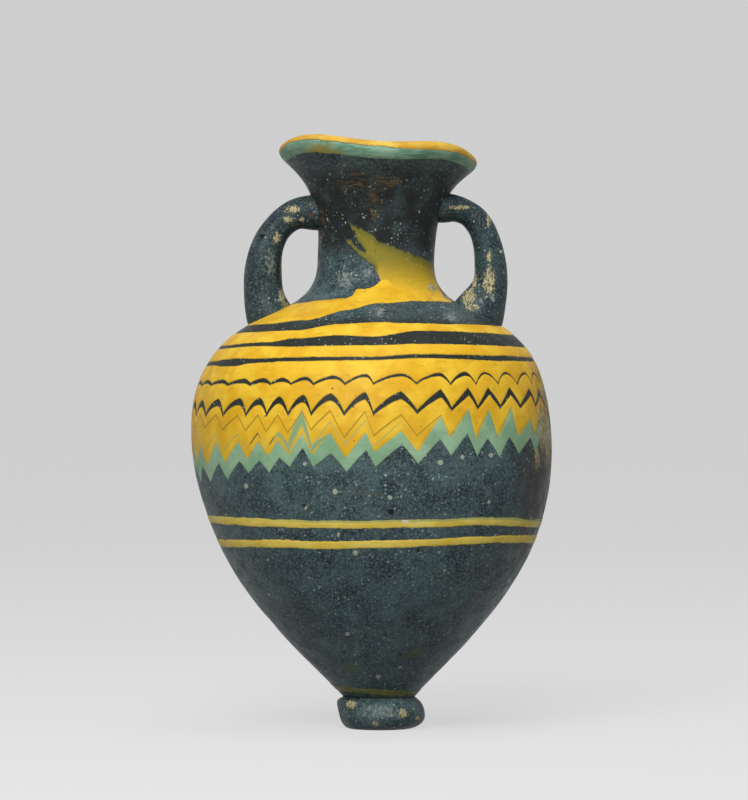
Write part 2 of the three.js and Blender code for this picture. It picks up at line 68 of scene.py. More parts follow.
CURVES = [
    [(WAIST_RADIUS, FOOT_HEIGHT), (10.1, 10.25), (BELLY_RADIUS, BELLY_HEIGHT - 19.2),
     (BELLY_RADIUS, BELLY_HEIGHT)],
    [(BELLY_RADIUS, BELLY_HEIGHT), (BELLY_RADIUS, BELLY_HEIGHT + 21.4), (NECK_RADIUS, NECK_HEIGHT - 10.3),
     (NECK_RADIUS, NECK_HEIGHT)],
    [(NECK_RADIUS, NECK_HEIGHT), (NECK_RADIUS, NECK_HEIGHT + 12.2), (MOUTH_RADIUS, MOUTH_HEIGHT - 1.95),
     (MOUTH_RADIUS, MOUTH_HEIGHT)],
]


def lerp(a, b, share):
    return a + (b - a) * share


def smooth(value, low, high):
    """From 0 at low to 1 at high, with a soft start and end. Low may be the larger number."""
    share = min(1.0, max(0.0, (value - low) / (high - low)))
    return share * share * (3 - 2 * share)


def bezier(curve, share):
    points = [Vector(point) for point in curve]
    while len(points) > 1:
        points = [a.lerp(b, share) for a, b in zip(points, points[1:])]
    return points[0]


# %% Walk along the outline
def walk_outline(steps=160):
    """Points of the outer wall with the length walked so far."""
    walked, places = 0.0, [(0.0, Vector(CURVES[0][0]))]
    for curve in CURVES:
        for step in range(1, steps + 1):
            point = bezier(curve, step / steps)
            walked += (point - places[-1][1]).length
            places.append((walked, point))
    return places


OUTLINE = walk_outline()
MOUTH_ALONG = OUTLINE[-1][0]
LIP_ALONG = MOUTH_ALONG + math.pi * LIP_WALL / 2


def find(column, value):
    """Index of the outline's last place at or before a length (column 0) or a height (column 1)."""
    key = (lambda place: place[0]) if column == 0 else (lambda place: place[1].y)
    low, high = 0, len(OUTLINE) - 1
    while high - low > 1:
        middle = (low + high) // 2
        low, high = (middle, high) if key(OUTLINE[middle]) <= value else (low, middle)
    return low


def wall_at(along, level=0.0):
    """Radius and height on the outer wall, or a level above it. Past the mouth comes the lip."""
    if along > MOUTH_ALONG:
        angle = (along - MOUTH_ALONG) / (LIP_WALL / 2)
        out = Vector((math.cos(angle), math.sin(angle)))
        return Vector((MOUTH_RADIUS - LIP_WALL / 2, MOUTH_HEIGHT)) + out * (LIP_WALL / 2 + level)
    index = find(0, max(along, 0.0))
    (start, a), (end, b) = OUTLINE[index], OUTLINE[index + 1]
    direction = (b - a).normalized()
    return a.lerp(b, (along - start) / (end - start)) + Vector((direction.y, -direction.x)) * level


def along_at(height):
    index = find(1, height)
    (start, a), (end, b) = OUTLINE[index], OUTLINE[index + 1]
    return lerp(start, end, (height - a.y) / (b.y - a.y))


def along_on_body(rise):
    return along_at(BELLY_HEIGHT + rise)


print(f"outline {MOUTH_ALONG:.1f} mm from foot seam to mouth")

# %% [markdown]
# The hand in the shape
#
# Nothing on the real flask is quite round or upright. The body sways to one side, the mouth
# tilts, the neck bulges, and the wall has shallow dents. One function bends every finished
# piece the same way, so that threads stay in the wall they lie in. The dents are smooth noise, a
# tenth or two of a millimetre deep, too small to change a size but enough to break up a
# machine-made highlight.

# %% One bend for every piece
SNUG = 0.998
DENT_DEPTH = 0.16
CHIP, CHIP_DEPTH, CHIP_REACH = Vector((-15.9, -1.5, 14.2)), 0.4, 1.3
SWAY, SWAY_HEIGHT, SWAY_REACH = 0.8, 46, 12.6
BOW = 0.45
MOUTH_PULL = 0.5
NECK_BULGE, NECK_BULGE_HEIGHT = 0.4, 65.5
MOUTH_WAVE, MOUTH_TILT, MOUTH_BACK_TILT, MOUTH_RAISE = 0.38, 0.062, 0.044, 0.2
FOOT_TILT, FOOT_SHIFT = 0.09, 0.25


def hump(distance, reach):
    """1 at no distance, softly down to 0 beyond the reach."""
    return math.exp(-((distance / reach) ** 2))


def arch(share):
    """From 0 up to 1 and back to 0, while a share runs from 0 to 1."""
    return math.sin(math.pi * min(1.0, max(0.0, share)))


def stray(x, y, z):
    """Where the maker's hand left a point of the exact shape, in millimetres."""
    sway = SWAY * hump(z - SWAY_HEIGHT, SWAY_REACH)
    bow = BOW * arch(z / MOUTH_HEIGHT)
    pull = MOUTH_PULL * smooth(z, NECK_HEIGHT + 9.6, MOUTH_HEIGHT) * smooth(x, 0, -10)
    bulge = NECK_BULGE * hump(z - NECK_BULGE_HEIGHT, 5) * smooth(x, -1, -7) * smooth(x, -12.5, -9.5)
    mouth = smooth(z, NECK_HEIGHT + 5, MOUTH_HEIGHT)
    wave = MOUTH_WAVE * math.cos(4 * math.atan2(x, y))
    foot = arch(z / FOOT_HEIGHT)
    lift = -mouth * (wave + MOUTH_TILT * x + MOUTH_BACK_TILT * y - MOUTH_RAISE) - foot * FOOT_TILT * x
    return x - sway - bow - pull - bulge + foot * FOOT_SHIFT, y, z + lift


def dented(point):
    """Bend a point in millimetres and give it in metres, a hair inside the plain solid."""
    x, y, z = stray(*point)
    place = Vector(point)
    dent = DENT_DEPTH - 0.09 * noise.noise(place / 9.0) - 0.035 * noise.noise(place / 2.6)
    dent += CHIP_DEPTH * hump((place - CHIP).length, CHIP_REACH)
    dent *= smooth(z, 0.2, 3.0)
    shrink = 1 - dent / max(math.hypot(x, y), 4.0)
    return Vector((x * shrink, y * shrink, z * SNUG)) * MM


def standing(point, wound):
    """A radius and height, stood up at a number of degrees wound round from the right handle."""
    angle = math.radians(90 - wound)
    return Vector((point.x * math.sin(angle), -point.x * math.cos(angle), point.y))


# %% Finish a mesh as a piece of the flask
def piece(name, mesh, material, nodes=(), thickness=0.0):
    for vert in mesh.verts:
        vert.co = dented(vert.co)
    for face in mesh.faces:
        face.smooth = True
    data = bpy.data.meshes.new(name)
    mesh.to_mesh(data)
    mesh.free()
    made = bpy.data.objects.new(name, data)
    bpy.context.scene.collection.objects.link(made)
    data.materials.append(material)
    if thickness:
        wall = made.modifiers.new("thickness", "SOLIDIFY")
        wall.thickness = thickness * MM
        wall.offset = -1
    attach(made, "root")
    if nodes:
        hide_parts(*nodes)
    print(f"{name}: {len(data.polygons)} faces")


# %% [markdown]
# A paint box for glass
#
# Each finish below is a tree of nodes: noise for clouds in the glass, round cells for specks and
# pits, and soft spots for places where burial left a crust. The paint box keeps that short. Its
# brushes read Object coordinates, which are metres on the real flask, so a speck of half a
# millimetre is written as one. Colours are written as they look on a screen.

# %% Paint box
def seen(red, green, blue):
    """A screen colour from 0 to 255 as the light that a shader works with."""
    return tuple((part / 255 / 12.92) if part < 11 else ((part / 255 + 0.055) / 1.055) ** 2.4
                 for part in (red, green, blue))


class Paint:
    """The nodes of one material."""

    def __init__(self, name):
        self.material = bpy.data.materials.new(name)
        self.material.use_nodes = True
        self.tree = self.material.node_tree
        self.shader = self.tree.nodes["Principled BSDF"]
        self.place = self.tree.nodes.new("ShaderNodeTexCoord").outputs["Object"]
        self.strayed = None

    def plug(self, value, socket):
        if isinstance(value, bpy.types.NodeSocket):
            self.tree.links.new(value, socket)
        elif isinstance(value, tuple) and len(socket.default_value) == 4:
            socket.default_value = (*value, 1.0)
        else:
            socket.default_value = value

    def math(self, operation, a, b=0.0):
        step = self.tree.nodes.new("ShaderNodeMath")
        step.operation = operation
        self.plug(a, step.inputs[0])
        self.plug(b, step.inputs[1])
        return step.outputs[0]

    def times(self, a, b):
        return self.math("MULTIPLY", a, b)

    def larger(self, a, b):
        return self.math("MAXIMUM", a, b)

    def ramp(self, value, low, high, to_low=0.0, to_high=1.0):
        step = self.tree.nodes.new("ShaderNodeMapRange")
        step.interpolation_type = "SMOOTHSTEP"
        for index, number in enumerate((value, low, high, to_low, to_high)):
            self.plug(number, step.inputs[index])
        return step.outputs[0]

    def mix(self, share, a, b):
        step = self.tree.nodes.new("ShaderNodeMix")
        step.data_type = "RGBA"
        self.plug(share, step.inputs[0])
        self.plug(a, step.inputs[6])
        self.plug(b, step.inputs[7])
        return step.outputs[2]

    def over(self, colour, tint, mask, strength=1.0):
        """Lay a tint over a colour where a mask is 1."""
        return self.mix(self.times(mask, strength), colour, tint)

    def cloud(self, size, detail=4.0, twist=0.0, seed=0.0, stretch=None):
        """Noise with features of a size in millimetres."""
        place = self.shifted((0, 0, 0), stretch) if stretch else self.place
        step = self.tree.nodes.new("ShaderNodeTexNoise")
        step.noise_dimensions = "4D"
        self.plug(place, step.inputs["Vector"])
        step.inputs["W"].default_value = seed
        step.inputs["Scale"].default_value = 1 / (size * MM)
        step.inputs["Detail"].default_value = detail
        step.inputs["Distortion"].default_value = twist
        return step.outputs[0]

    def wobble(self, amount, *cloud):
        """Noise about 0 that strays by half an amount either way."""
        return self.times(self.math("SUBTRACT", self.cloud(*cloud), 0.5), amount)

    def ragged(self):
        """Object coordinates that stray a tenth of a millimetre, so that no spot is quite round."""
        if not self.strayed:
            noise_step = self.tree.nodes.new("ShaderNodeTexNoise")
            self.plug(self.place, noise_step.inputs["Vector"])
            noise_step.inputs["Scale"].default_value = 1 / (0.4 * MM)
            step = self.tree.nodes.new("ShaderNodeVectorMath")
            step.operation = "MULTIPLY_ADD"
            self.plug(noise_step.outputs["Color"], step.inputs[0])
            step.inputs[1].default_value = (0.4 * MM, 0.4 * MM, 0.4 * MM)
            self.plug(self.place, step.inputs[2])
            self.strayed = step.outputs[0]
        return self.strayed

    def shifted(self, centre, size, place=None):
        """Object coordinates measured from a centre in millimetres and divided by a size."""
        step = self.tree.nodes.new("ShaderNodeMapping")
        step.vector_type = "POINT"
        scale = [1 / part for part in size]
        self.plug(place or self.place, step.inputs["Vector"])
        step.inputs["Scale"].default_value = scale
        offset = [-middle * MM * part for middle, part in zip(centre, scale)]
        step.inputs["Location"].default_value = offset
        return step.outputs[0]

    def specks(self, cell, radius, share, seed=0.0, soft=0.35):
        """Small spots, one to a cell of a size in millimetres, in a share of the cells."""
        place = self.shifted((seed * 3.7, seed * 1.9, seed * 5.3), (1, 1, 1), self.ragged())
        step = self.tree.nodes.new("ShaderNodeTexVoronoi")
        self.plug(place, step.inputs["Vector"])
        step.inputs["Scale"].default_value = 1 / (cell * MM)
        chance = self.tree.nodes.new("ShaderNodeSeparateColor")
        self.plug(step.outputs["Color"], chance.inputs[0])
        reach = self.ramp(chance.outputs[0], 1 - share, 1.0, 0.0, radius / cell)
        edge = self.math("SUBTRACT", reach, step.outputs["Distance"])
        return self.ramp(edge, 0.0, soft * radius / cell)

    def patches(self, places, ragged=0.9, grain=0.5, seed=0.0, soft=0.35):
        """Ragged patches, each given as a centre and its half sizes along X, Y and Z in millimetres."""
        inside = -9.0
        for centre, size in places:
            place = self.shifted(centre, [part * MM for part in size])
            length = self.tree.nodes.new("ShaderNodeVectorMath")
            length.operation = "LENGTH"
            self.plug(place, length.inputs[0])
            inside = self.larger(inside, self.math("SUBTRACT", 1.0, length.outputs["Value"]))
        rough = self.wobble(2 * ragged, grain, 5.0, 0.3, seed)
        return self.ramp(self.math("ADD", inside, rough), 0.0, soft)

    def crust(self, places, colour):
        """Cream flakes over brown, in streaks that run down the wall. Also gives their mask."""
        mask = self.patches(places, 1.1, 0.34, 7.0, 0.4)
        flaked = self.ramp(self.cloud(0.28, 5.0, 0.3, 6.0, (0.7, 0.7, 1.6)), 0.36, 0.56)
        flakes = self.mix(flaked, seen(92, 80, 52), seen(194, 186, 146))
        return self.over(colour, flakes, mask, 0.95), mask

    def along(self, axis):
        """A coordinate in metres: X to the right handle, Z up."""
        split = self.tree.nodes.new("ShaderNodeSeparateXYZ")
        self.plug(self.place, split.inputs[0])
        return split.outputs[axis]

    def layer(self, low, high, fade=1.5):
        """1 between two heights in millimetres, with soft limits."""
        over = self.ramp(self.along("Z"), (low - fade) * MM, (low + fade) * MM)
        return self.times(over, self.ramp(self.along("Z"), (high + fade) * MM, (high - fade) * MM))

    def attribute(self, name):
        step = self.tree.nodes.new("ShaderNodeAttribute")
        step.attribute_name = name
        return step.outputs["Fac"]

    def relief(self, heights):
        """Bumps, each given as a mask and its height in millimetres."""
        normal = None
        for mask, tall in heights:
            step = self.tree.nodes.new("ShaderNodeBump")
            step.inputs["Strength"].default_value = 1.0
            step.inputs["Distance"].default_value = abs(tall) * MM
            step.invert = tall < 0
            self.plug(mask, step.inputs["Height"])
            if normal:
                self.plug(normal, step.inputs["Normal"])
            normal = step.outputs["Normal"]
        self.plug(normal, self.shader.inputs["Normal"])

    def done(self, colour, roughness, gloss=0.18):
        self.plug(colour, self.shader.inputs["Base Color"])
        self.plug(roughness, self.shader.inputs["Roughness"])
        self.shader.inputs["Specular IOR Level"].default_value = gloss
        return self.material


EDGE_SUNK = 0.13


def on_wall(degrees, height):
    """Where a place on the finished wall is, in millimetres: degrees from the front, and height."""
    return stray(*standing(wall_at(along_at(height)), 90 - degrees))


# %% [markdown]
# Dark glass
#
# The body glass is a slate blue that is nearly opaque. Close up it is full of things: pale
# grains of the core and bubbles opened by burial, darker clouds where the batch was uneven, and
# cream crust on the side that lay in damp soil. The crust is a set of ragged spots at the places
# where the flask has it, and the grains are round cells in two sizes.

# %% Where burial left its marks
def spots(rows):
    """Marks as a centre and half sizes along X, Y and Z, in millimetres. A row of five numbers gives
    the centre as degrees from the front and height on the wall, a row of six as a point."""
    return [(on_wall(*row[:2]) if len(row) == 5 else row[:3], row[-3:]) for row in rows]


WALL_MARKS = {
    "crust": spots([
        (69, 42.0, 0.9, 3, 3.8), (77, 40.5, 1.2, 4, 4.6), (64, 38.0, 0.5, 2, 1.8), (80, 47.0, 0.8, 4, 2.0),
        (58, 61.6, 1.0, 2.0, 0.55), (72, 60.2, 1.0, 3.0, 0.7), (-11.5, 0, 59.6, 0.9, 3, 0.4),
        (-9.9, 0, 60.6, 0.8, 3, 0.5), (-4.1, -4.6, 3.6, 1.1, 2.0, 0.75), (3.2, -5.2, 2.4, 0.85, 1.5, 0.75),
        (5.3, -3.2, 1.6, 0.4, 1.5, 0.35), (-0.6, -4.9, 1.0, 0.55, 2.0, 0.5)]),
    "bloom": spots([
        (3, 58.0, 0.9, 2.5, 1.4), (41, 57.4, 1.2, 3.0, 1.6), (-9, 63.6, 0.8, 2.0, 1.0),
        (-28, 62.5, 1.6, 2.5, 1.8), (0.2, -5.6, 2.6, 4.0, 2.5, 1.1)]),
    "rust": spots([
        (-18, 75.6, 4.2, 4, 2.6), (6, 75.8, 3.4, 4, 1.3), (-4, 72.8, 1.6, 4, 2.8), (-66, 70.5, 1.2, 3, 3.0),
        (-0.6, -4.4, 0.9, 0.9, 2.0, 0.8), (-3, 33.3, 2.4, 3, 1.0)]),
    "haze": spots([(-26, 8.9, 2.4, 3, 1.3), (24, 10.9, 2.6, 3, 1.5), (0, 5.2, 6.0, 4, 0.8)]),
    "grains": spots([
        (-12.3, 33.6, 0.4, 1, 0.46), (-22.7, 31.4, 0.22, 1, 0.36), (4.9, 32.8, 0.36, 1, 0.38),
        (-12.7, 27.8, 0.26, 1, 0.4), (-7.5, 25.3, 0.42, 1, 0.42), (-44.6, 34.2, 0.4, 1, 0.4),
        (-21.2, 37.3, 0.3, 1, 0.3), (21.2, 37.5, 0.46, 1, 0.4), (28.8, 38.2, 0.34, 1, 0.36),
        (39.5, 38.4, 0.4, 1, 0.4), (-0.5, 7.7, 0.4, 1, 0.4), (-17, 13.9, 0.4, 1, 0.3)]),
    "pits": spots([(5.1, 30.9, 0.45, 1, 0.4), (-23.1, 31.7, 0.28, 1, 0.26), (14.9, 25.6, 0.26, 1, 0.26)]),
}
HANDLE_MARKS = {
    "crust": spots([
        (11.1, -1.5, 72.8, 1.8, 2, 0.4), (15.3, -1.5, 71.1, 0.45, 2, 1.1), (15.3, -2.2, 65.9, 0.35, 2, 0.9),
        (15.3, -2.3, 62.2, 0.95, 2, 2.4), (13.2, -1.5, 62.7, 0.5, 2.5, 1.8),
        (12.4, -2.6, 60.3, 1.1, 2.5, 1.6), (12.95, -2.6, 58.8, 1.2, 2.5, 0.8),
        (-12, -1.5, 72.5, 1.2, 2, 0.6), (-12.8, -1.5, 71.1, 0.9, 2, 0.6), (-10.85, -1.5, 71, 0.5, 2, 0.4),
        (-14.3, -1.6, 68.5, 0.55, 2, 1), (-13.7, 0, 64.1, 0.25, 3, 1.9), (-13.65, -1, 60.2, 0.6, 2.5, 1.5),
        (-12.95, -1, 59.1, 0.8, 2.5, 0.5)]),
    "bloom": spots([
        (15.7, -2.2, 60.2, 0.7, 2.5, 0.7), (-15.2, -2.2, 65, 1, 2.5, 2.4), (13.5, -2.2, 59, 1.6, 2.5, 1.6)]),
    "rust": spots([
        (9.3, -1.5, 72.1, 0.7, 2.5, 1), (-11.4, -2, 70.7, 1.1, 2.5, 0.9), (-9.6, -2, 72.5, 0.7, 2.5, 2)]),
    "haze": [],
    "grains": spots([(17.0, -1.5, 66.6, 0.3, 2, 0.3)]),
    "pits": spots([(-16.45, -2.0, 68.75, 0.4, 2, 0.38)]),
}
# Where the darker right side starts and is full, in millimetres along X: painted shade on the side away from
# the key lamp, together with soil on the glass.
SHADED_SOILED_SIDE = 17.0, 21.5
SHADED_SOILED_THREADS = 20.0, 24.0


# %% Dark glass
def dark_glass(name, marks, deep, light, mottle):
    paint = Paint(name)
    colour = paint.mix(paint.ramp(paint.cloud(5.0, 6.0, 0.8), 0.36, 0.66), deep, light)
    for tint, cloud, low, high, strength in (
            (seen(70, 104, 106), (3.2, 5.0, 1.6, 4.0), 0.52, 0.7, 0.35),
            (seen(34, 46, 60), (2.0, 5.0, 1.2, 7.0), 0.48, 0.66, 0.55),
            (seen(110, 130, 130), (0.3, 5.0, 0.2, 9.0), 0.44, 0.66, mottle),
            (seen(16, 22, 26), (0.5, 6.0, 0.1, 2.0), 0.52, 0.7, mottle)):
        colour = paint.over(colour, tint, paint.ramp(paint.cloud(*cloud), low, high), strength)
    if marks is WALL_MARKS:
        uneven = paint.ramp(paint.cloud(2.6, 4.0, 0.6, 11.0), 0.36, 0.6, 0.6, 0.92)
        colour = paint.over(colour, seen(26, 26, 14), paint.layer(43.5, 57.0), 0.85)
        # The neck is darker between 66.5 and 77.5 mm up: painted shade under the lip, together with a dark
        # film on the glass.
        colour = paint.over(colour, seen(24, 25, 23), paint.times(paint.layer(66.5, 77.5), uneven))
        # The right side goes dark brown: painted shade away from the key lamp, together with soil on the
        # glass.
        shade_and_soil = paint.ramp(paint.along("X"), SHADED_SOILED_SIDE[0] * MM, SHADED_SOILED_SIDE[1] * MM)
        colour = paint.over(colour, seen(40, 34, 24), paint.times(shade_and_soil, uneven))
    broken = paint.ramp(paint.cloud(0.8, 5.0, 0.8, 3.0, (2.2, 2.2, 0.6)), 0.42, 0.66)
    rust = paint.times(paint.patches(marks["rust"], 1.2, 0.9, 3.0, 0.9), broken)
    colour = paint.over(colour, seen(106, 88, 58), rust, 0.75)
    if marks["haze"]:
        colour = paint.over(colour, seen(64, 80, 40), paint.patches(marks["haze"], 0.9, 1.2, 5.0, 1.0), 0.75)
    bloom = paint.times(paint.patches(marks["bloom"], 1.6, 0.5, 8.0, 0.9),
                       paint.ramp(paint.cloud(0.4, 5.0, 0.3, 6.0, (0.8, 0.8, 1.5)), 0.4, 0.6, 0.3, 1.0))
    colour = paint.over(colour, seen(150, 160, 152), bloom, 0.75)
    dusty = paint.ramp(paint.cloud(5.0, 3.0, 0.5, 5.0), 0.36, 0.62, 0.4, 0.9)
    dust = paint.larger(paint.specks(0.45, 0.14, 0.6, 1.0), paint.specks(0.85, 0.2, 0.5, 2.0))
    colour = paint.over(colour, seen(166, 180, 176), paint.times(dust, dusty))
    middling = paint.specks(2.0, 0.3, 0.36, 3.0)
    marked = paint.patches(marks["grains"], 0.4, 0.4, 1.0, 0.3)
    large = paint.larger(paint.specks(5.0, 0.55, 0.3, 5.0), marked)
    grains = paint.larger(middling, large)
    colour = paint.over(colour, seen(178, 184, 166), grains, 0.85)
    marked = paint.patches(marks["pits"], 0.4, 0.4, 2.0, 0.25)
    pits = paint.larger(paint.specks(1.9, 0.3, 0.4, 8.0), marked)
    colour = paint.over(colour, seen(12, 14, 15), pits, 0.9)
    colour, crust = paint.crust(marks["crust"], colour)
    paint.relief([(paint.cloud(0.5, 5.0, 0.0, 12.0), 0.04), (pits, -0.08), (grains, 0.03), (crust, 0.05)])
    rough = paint.ramp(paint.cloud(1.6, 4.0, 0.0, 3.0), 0.3, 0.7, 0.4, 0.6)
    return paint.done(colour, paint.larger(rough, paint.times(crust, 0.85)))


DARK_GLASS = dark_glass("dark_core_formed_glass", WALL_MARKS, seen(36, 48, 54), seen(74, 94, 96), mottle=0.6)
HANDLE_GLASS = dark_glass("dark_drawn_glass", HANDLE_MARKS, seen(28, 39, 42), seen(46, 61, 64), mottle=0.42)

# %% [markdown]
# Coloured threads
#
# The yellow is opaque and rich where the thread is thick. At its edges, where it thins out over
# the dark glass, it goes olive. Each thread carries an attribute that says how many millimetres
# a point lies from the thread's edge, so the thin edge can be painted wherever the thread runs.
# The smear on the neck was dragged out so thin that the dark wall shows through its rim.

# %% Thread glass
OLIVE = seen(112, 106, 42)
LENGTHWISE = (3.0, 3.0, 0.4)


def thread_glass(name, deep, bright, edge, edge_width, stretch=(2.4, 2.4, 0.6), tints=()):
    """Glass of a thread. A tint is a mask, made by a function of the paint, a colour and a strength."""
    paint = Paint(name)
    edge = edge(paint) if callable(edge) else edge
    colour = paint.mix(paint.ramp(paint.cloud(3.5, 5.0, 0.6), 0.34, 0.68), deep, bright)
    streaks = paint.ramp(paint.cloud(0.8, 4.0, 0.9, 3.0, stretch), 0.54, 0.72)
    colour = paint.over(colour, edge, streaks, 0.25)
    for mask, tint, strength in tints:
        colour = paint.over(colour, tint, mask(paint), strength)
    ragged = paint.wobble(2 * edge_width, 0.6, 4.0, 0.3, 2.0)
    inside = paint.math("ADD", paint.attribute("from_edge"), ragged)
    colour = paint.over(colour, edge, paint.ramp(inside, EDGE_SUNK + 1.4 * edge_width, EDGE_SUNK), 0.85)
    pits = paint.specks(1.5, 0.17, 0.3, 4.0)
    colour = paint.over(colour, seen(64, 54, 24), pits, 0.8)
    colour = paint.over(colour, seen(250, 240, 200), paint.specks(0.8, 0.13, 0.4, 6.0), 0.35)
    broken = paint.ramp(paint.cloud(0.6, 5.0, 0.4, 3.0, (0.8, 0.8, 1.6)), 0.4, 0.58, 0.25, 1.0)
    # The threads go dark brown on the right side: painted shade away from the key lamp, together with soil on
    # the glass.
    shade_and_soil = paint.ramp(paint.along("X"), SHADED_SOILED_THREADS[0] * MM, SHADED_SOILED_THREADS[1] * MM)
    colour = paint.over(colour, seen(70, 56, 32), paint.times(shade_and_soil, broken), 0.95)
    dusty = paint.patches(WALL_MARKS["bloom"][1:2], 1.4, 0.5, 8.0, 0.9)
    colour = paint.over(colour, seen(226, 222, 190), dusty, 0.3)
    colour, crust = paint.crust(WALL_MARKS["crust"][:6], colour)
    paint.relief([(paint.cloud(0.6, 4.0, 0.0, 12.0), 0.03), (pits, -0.06), (crust, 0.04)])
    return paint.done(colour, paint.ramp(paint.cloud(1.4, 3.0, 0.0, 3.0), 0.3, 0.7, 0.4, 0.56), 0.15)


def near_line(name, places=()):
    """Mask of a combed line. Its attribute counts half widths from the middle of the line."""
    def mask(paint):
        near = paint.ramp(paint.math("ABSOLUTE", paint.attribute(name)), 1.7, 0.4)
        return paint.times(near, paint.patches(places, 0.3, 0.9, 4.0, 0.4)) if places else near
    return mask


def hem_colour(paint):
    """Yellow goes olive over dark glass, and light green where it meets turquoise."""
    at_hem = paint.times(paint.attribute("last_turn"), paint.ramp(paint.attribute("across"), 0.6, 0.4))
    return paint.mix(at_hem, OLIVE, seen(194, 184, 96))


def lengthwise(paint):
    return paint.ramp(paint.cloud(0.7, 4.0, 0.4, 9.0, LENGTHWISE), 0.46, 0.64)


# %% Yellow and turquoise on the shoulder
DARK_STROKES = spots([(-39.2, 40.8, 1.3, 2, 1.4), (-32.7, 40.8, 0.8, 2, 1.2)])
YELLOW_GLASS = thread_glass(
    "yellow_thread_glass", seen(228, 174, 36), seen(246, 202, 58), hem_colour, 0.15, tints=[
        (near_line("turquoise_blob"), seen(128, 172, 130), 0.95),
        (near_line("upper_line"), seen(168, 136, 46), 0.9),
        (near_line("lower_line"), seen(180, 178, 104), 0.85),
        (near_line("lower_line", DARK_STROKES), seen(78, 70, 28), 0.95)])
TURQUOISE_GLASS = thread_glass(
    "turquoise_thread_glass", seen(130, 170, 132), seen(160, 194, 158), seen(92, 114, 84), 0.16)

# %% Trails and rings
OLIVE_PATCH = spots([(-8.6, -10.5, 79.8, 3.6, 4, 1.6)])
RING_GRAIN = spots([(9.8, 29.6, 0.5, 1, 0.45)])


def olive_patch(paint):
    return paint.patches(OLIVE_PATCH, 1.2, 0.9, 5.0, 0.8)


def ring_grain(paint):
    return paint.patches(RING_GRAIN, 0.4, 0.4, 3.0, 0.3)


def lower_rim(paint):
    return paint.ramp(paint.attribute("across"), 0.45, 0.3)


def green_rim(paint):
    """A thin green line rides along the top of the ring, fainter at the left."""
    line = paint.times(paint.ramp(paint.attribute("across"), 0.64, 0.74),
                      paint.ramp(paint.attribute("across"), 0.96, 0.86))
    return paint.times(line, paint.ramp(paint.along("X"), -16 * MM, -8 * MM, 0.3, 1.0))


# The pale lengthwise streaks in the lip's yellow are streaky glass and also a painted highlight along the
# lip.
LIP_YELLOW_GLASS = thread_glass(
    "lip_yellow_glass", seen(208, 154, 40), seen(232, 192, 74), seen(192, 158, 72), 0.12, LENGTHWISE,
    [(lengthwise, seen(232, 208, 116), 0.4)])
LIP_TURQUOISE_GLASS = thread_glass(
    "lip_turquoise_glass", seen(104, 150, 126), seen(144, 184, 158), seen(120, 140, 100), 0.18, LENGTHWISE,
    [(lengthwise, seen(168, 200, 175), 0.6), (olive_patch, seen(182, 164, 68), 0.85)])
# Dark olive where the rings thin out at their edges; the same dark edge is also a painted shadow line under
# each ring.
RING_EDGE_AND_SHADOW = seen(104, 94, 40)
RING_STREAKS = (lengthwise, seen(238, 218, 132), 0.35)
RING_GLASS = thread_glass(
    "ring_yellow_glass", seen(238, 204, 74), seen(252, 224, 104), RING_EDGE_AND_SHADOW, 0.07, LENGTHWISE,
    [RING_STREAKS])
UPPER_RING_GLASS = thread_glass(
    "ring_yellow_green_glass", seen(238, 206, 80), seen(252, 226, 112), RING_EDGE_AND_SHADOW, 0.07, LENGTHWISE,
    [RING_STREAKS, (green_rim, seen(160, 174, 112), 0.85), (ring_grain, seen(214, 214, 186), 0.9)])
OLIVE_GLASS = thread_glass(
    "olive_trail_glass", seen(94, 100, 56), seen(118, 120, 68), seen(70, 78, 50), 0.08, LENGTHWISE,
    [(lower_rim, seen(146, 144, 88), 0.7)])


# %% Smeared glass on the neck
def smear_glass():
    paint = Paint("smeared_yellow_glass")
    rise = paint.ramp(paint.along("Z"), 60.0 * MM, 66 * MM)
    colour = paint.mix(rise, seen(234, 188, 50), seen(146, 134, 48))
    drag = paint.ramp(paint.cloud(1.2, 4.0, 0.9, 3.0, (1.6, 1.6, 0.7)), 0.46, 0.7)
    colour = paint.over(colour, seen(130, 128, 54), drag, 0.3)
    ragged = paint.wobble(1.0, 0.9, 5.0, 0.4, 2.0)
    inside = paint.math("ADD", paint.attribute("from_edge"), ragged)
    colour = paint.over(colour, seen(108, 108, 52), paint.ramp(inside, 1.7, 0.25), 0.75)
    colour = paint.over(colour, seen(30, 38, 40), paint.ramp(inside, 0.5, 0.05))
    colour = paint.over(colour, seen(208, 200, 120), paint.specks(0.7, 0.14, 0.5, 6.0), 0.5)
    colour = paint.over(colour, seen(46, 46, 32), paint.specks(1.2, 0.16, 0.5, 4.0), 0.7)
    colour, crust = paint.crust(WALL_MARKS["crust"][4:6], colour)
    paint.relief([(paint.cloud(0.7, 4.0, 0.0, 12.0), 0.04), (crust, 0.05)])
    return paint.done(colour, paint.ramp(paint.cloud(1.4, 3.0, 0.0, 3.0), 0.3, 0.7, 0.4, 0.56), 0.15)


SMEARED_GLASS = smear_glass()

# %% [markdown]
# Vessel wall
#
# The wall is one closed skin: up the outside, over a half-round lip, down the inside and across
# the thick floor. A profile like that asks for a lathe, and Blender's lathe is the spin
# operator: a chain of edges turned once round the axis, with its ends merged.

# %% Spin a profile
WALL_COLUMNS = 256


def spin_profile(points, steps):
    mesh = bmesh.new()
    corners = [mesh.verts.new((point.x, 0.0, point.y)) for point in points]
    for a, b in zip(corners, corners[1:]):
        mesh.edges.new((a, b))
    bmesh.ops.spin(mesh, geom=mesh.verts[:] + mesh.edges[:], cent=(0, 0, 0), axis=(0, 0, 1),
                   angle=2 * math.pi, steps=steps, use_merge=True)
    bmesh.ops.remove_doubles(mesh, verts=mesh.verts[:], dist=0.001)
    bmesh.ops.recalc_face_normals(mesh, faces=mesh.faces[:])
    return mesh


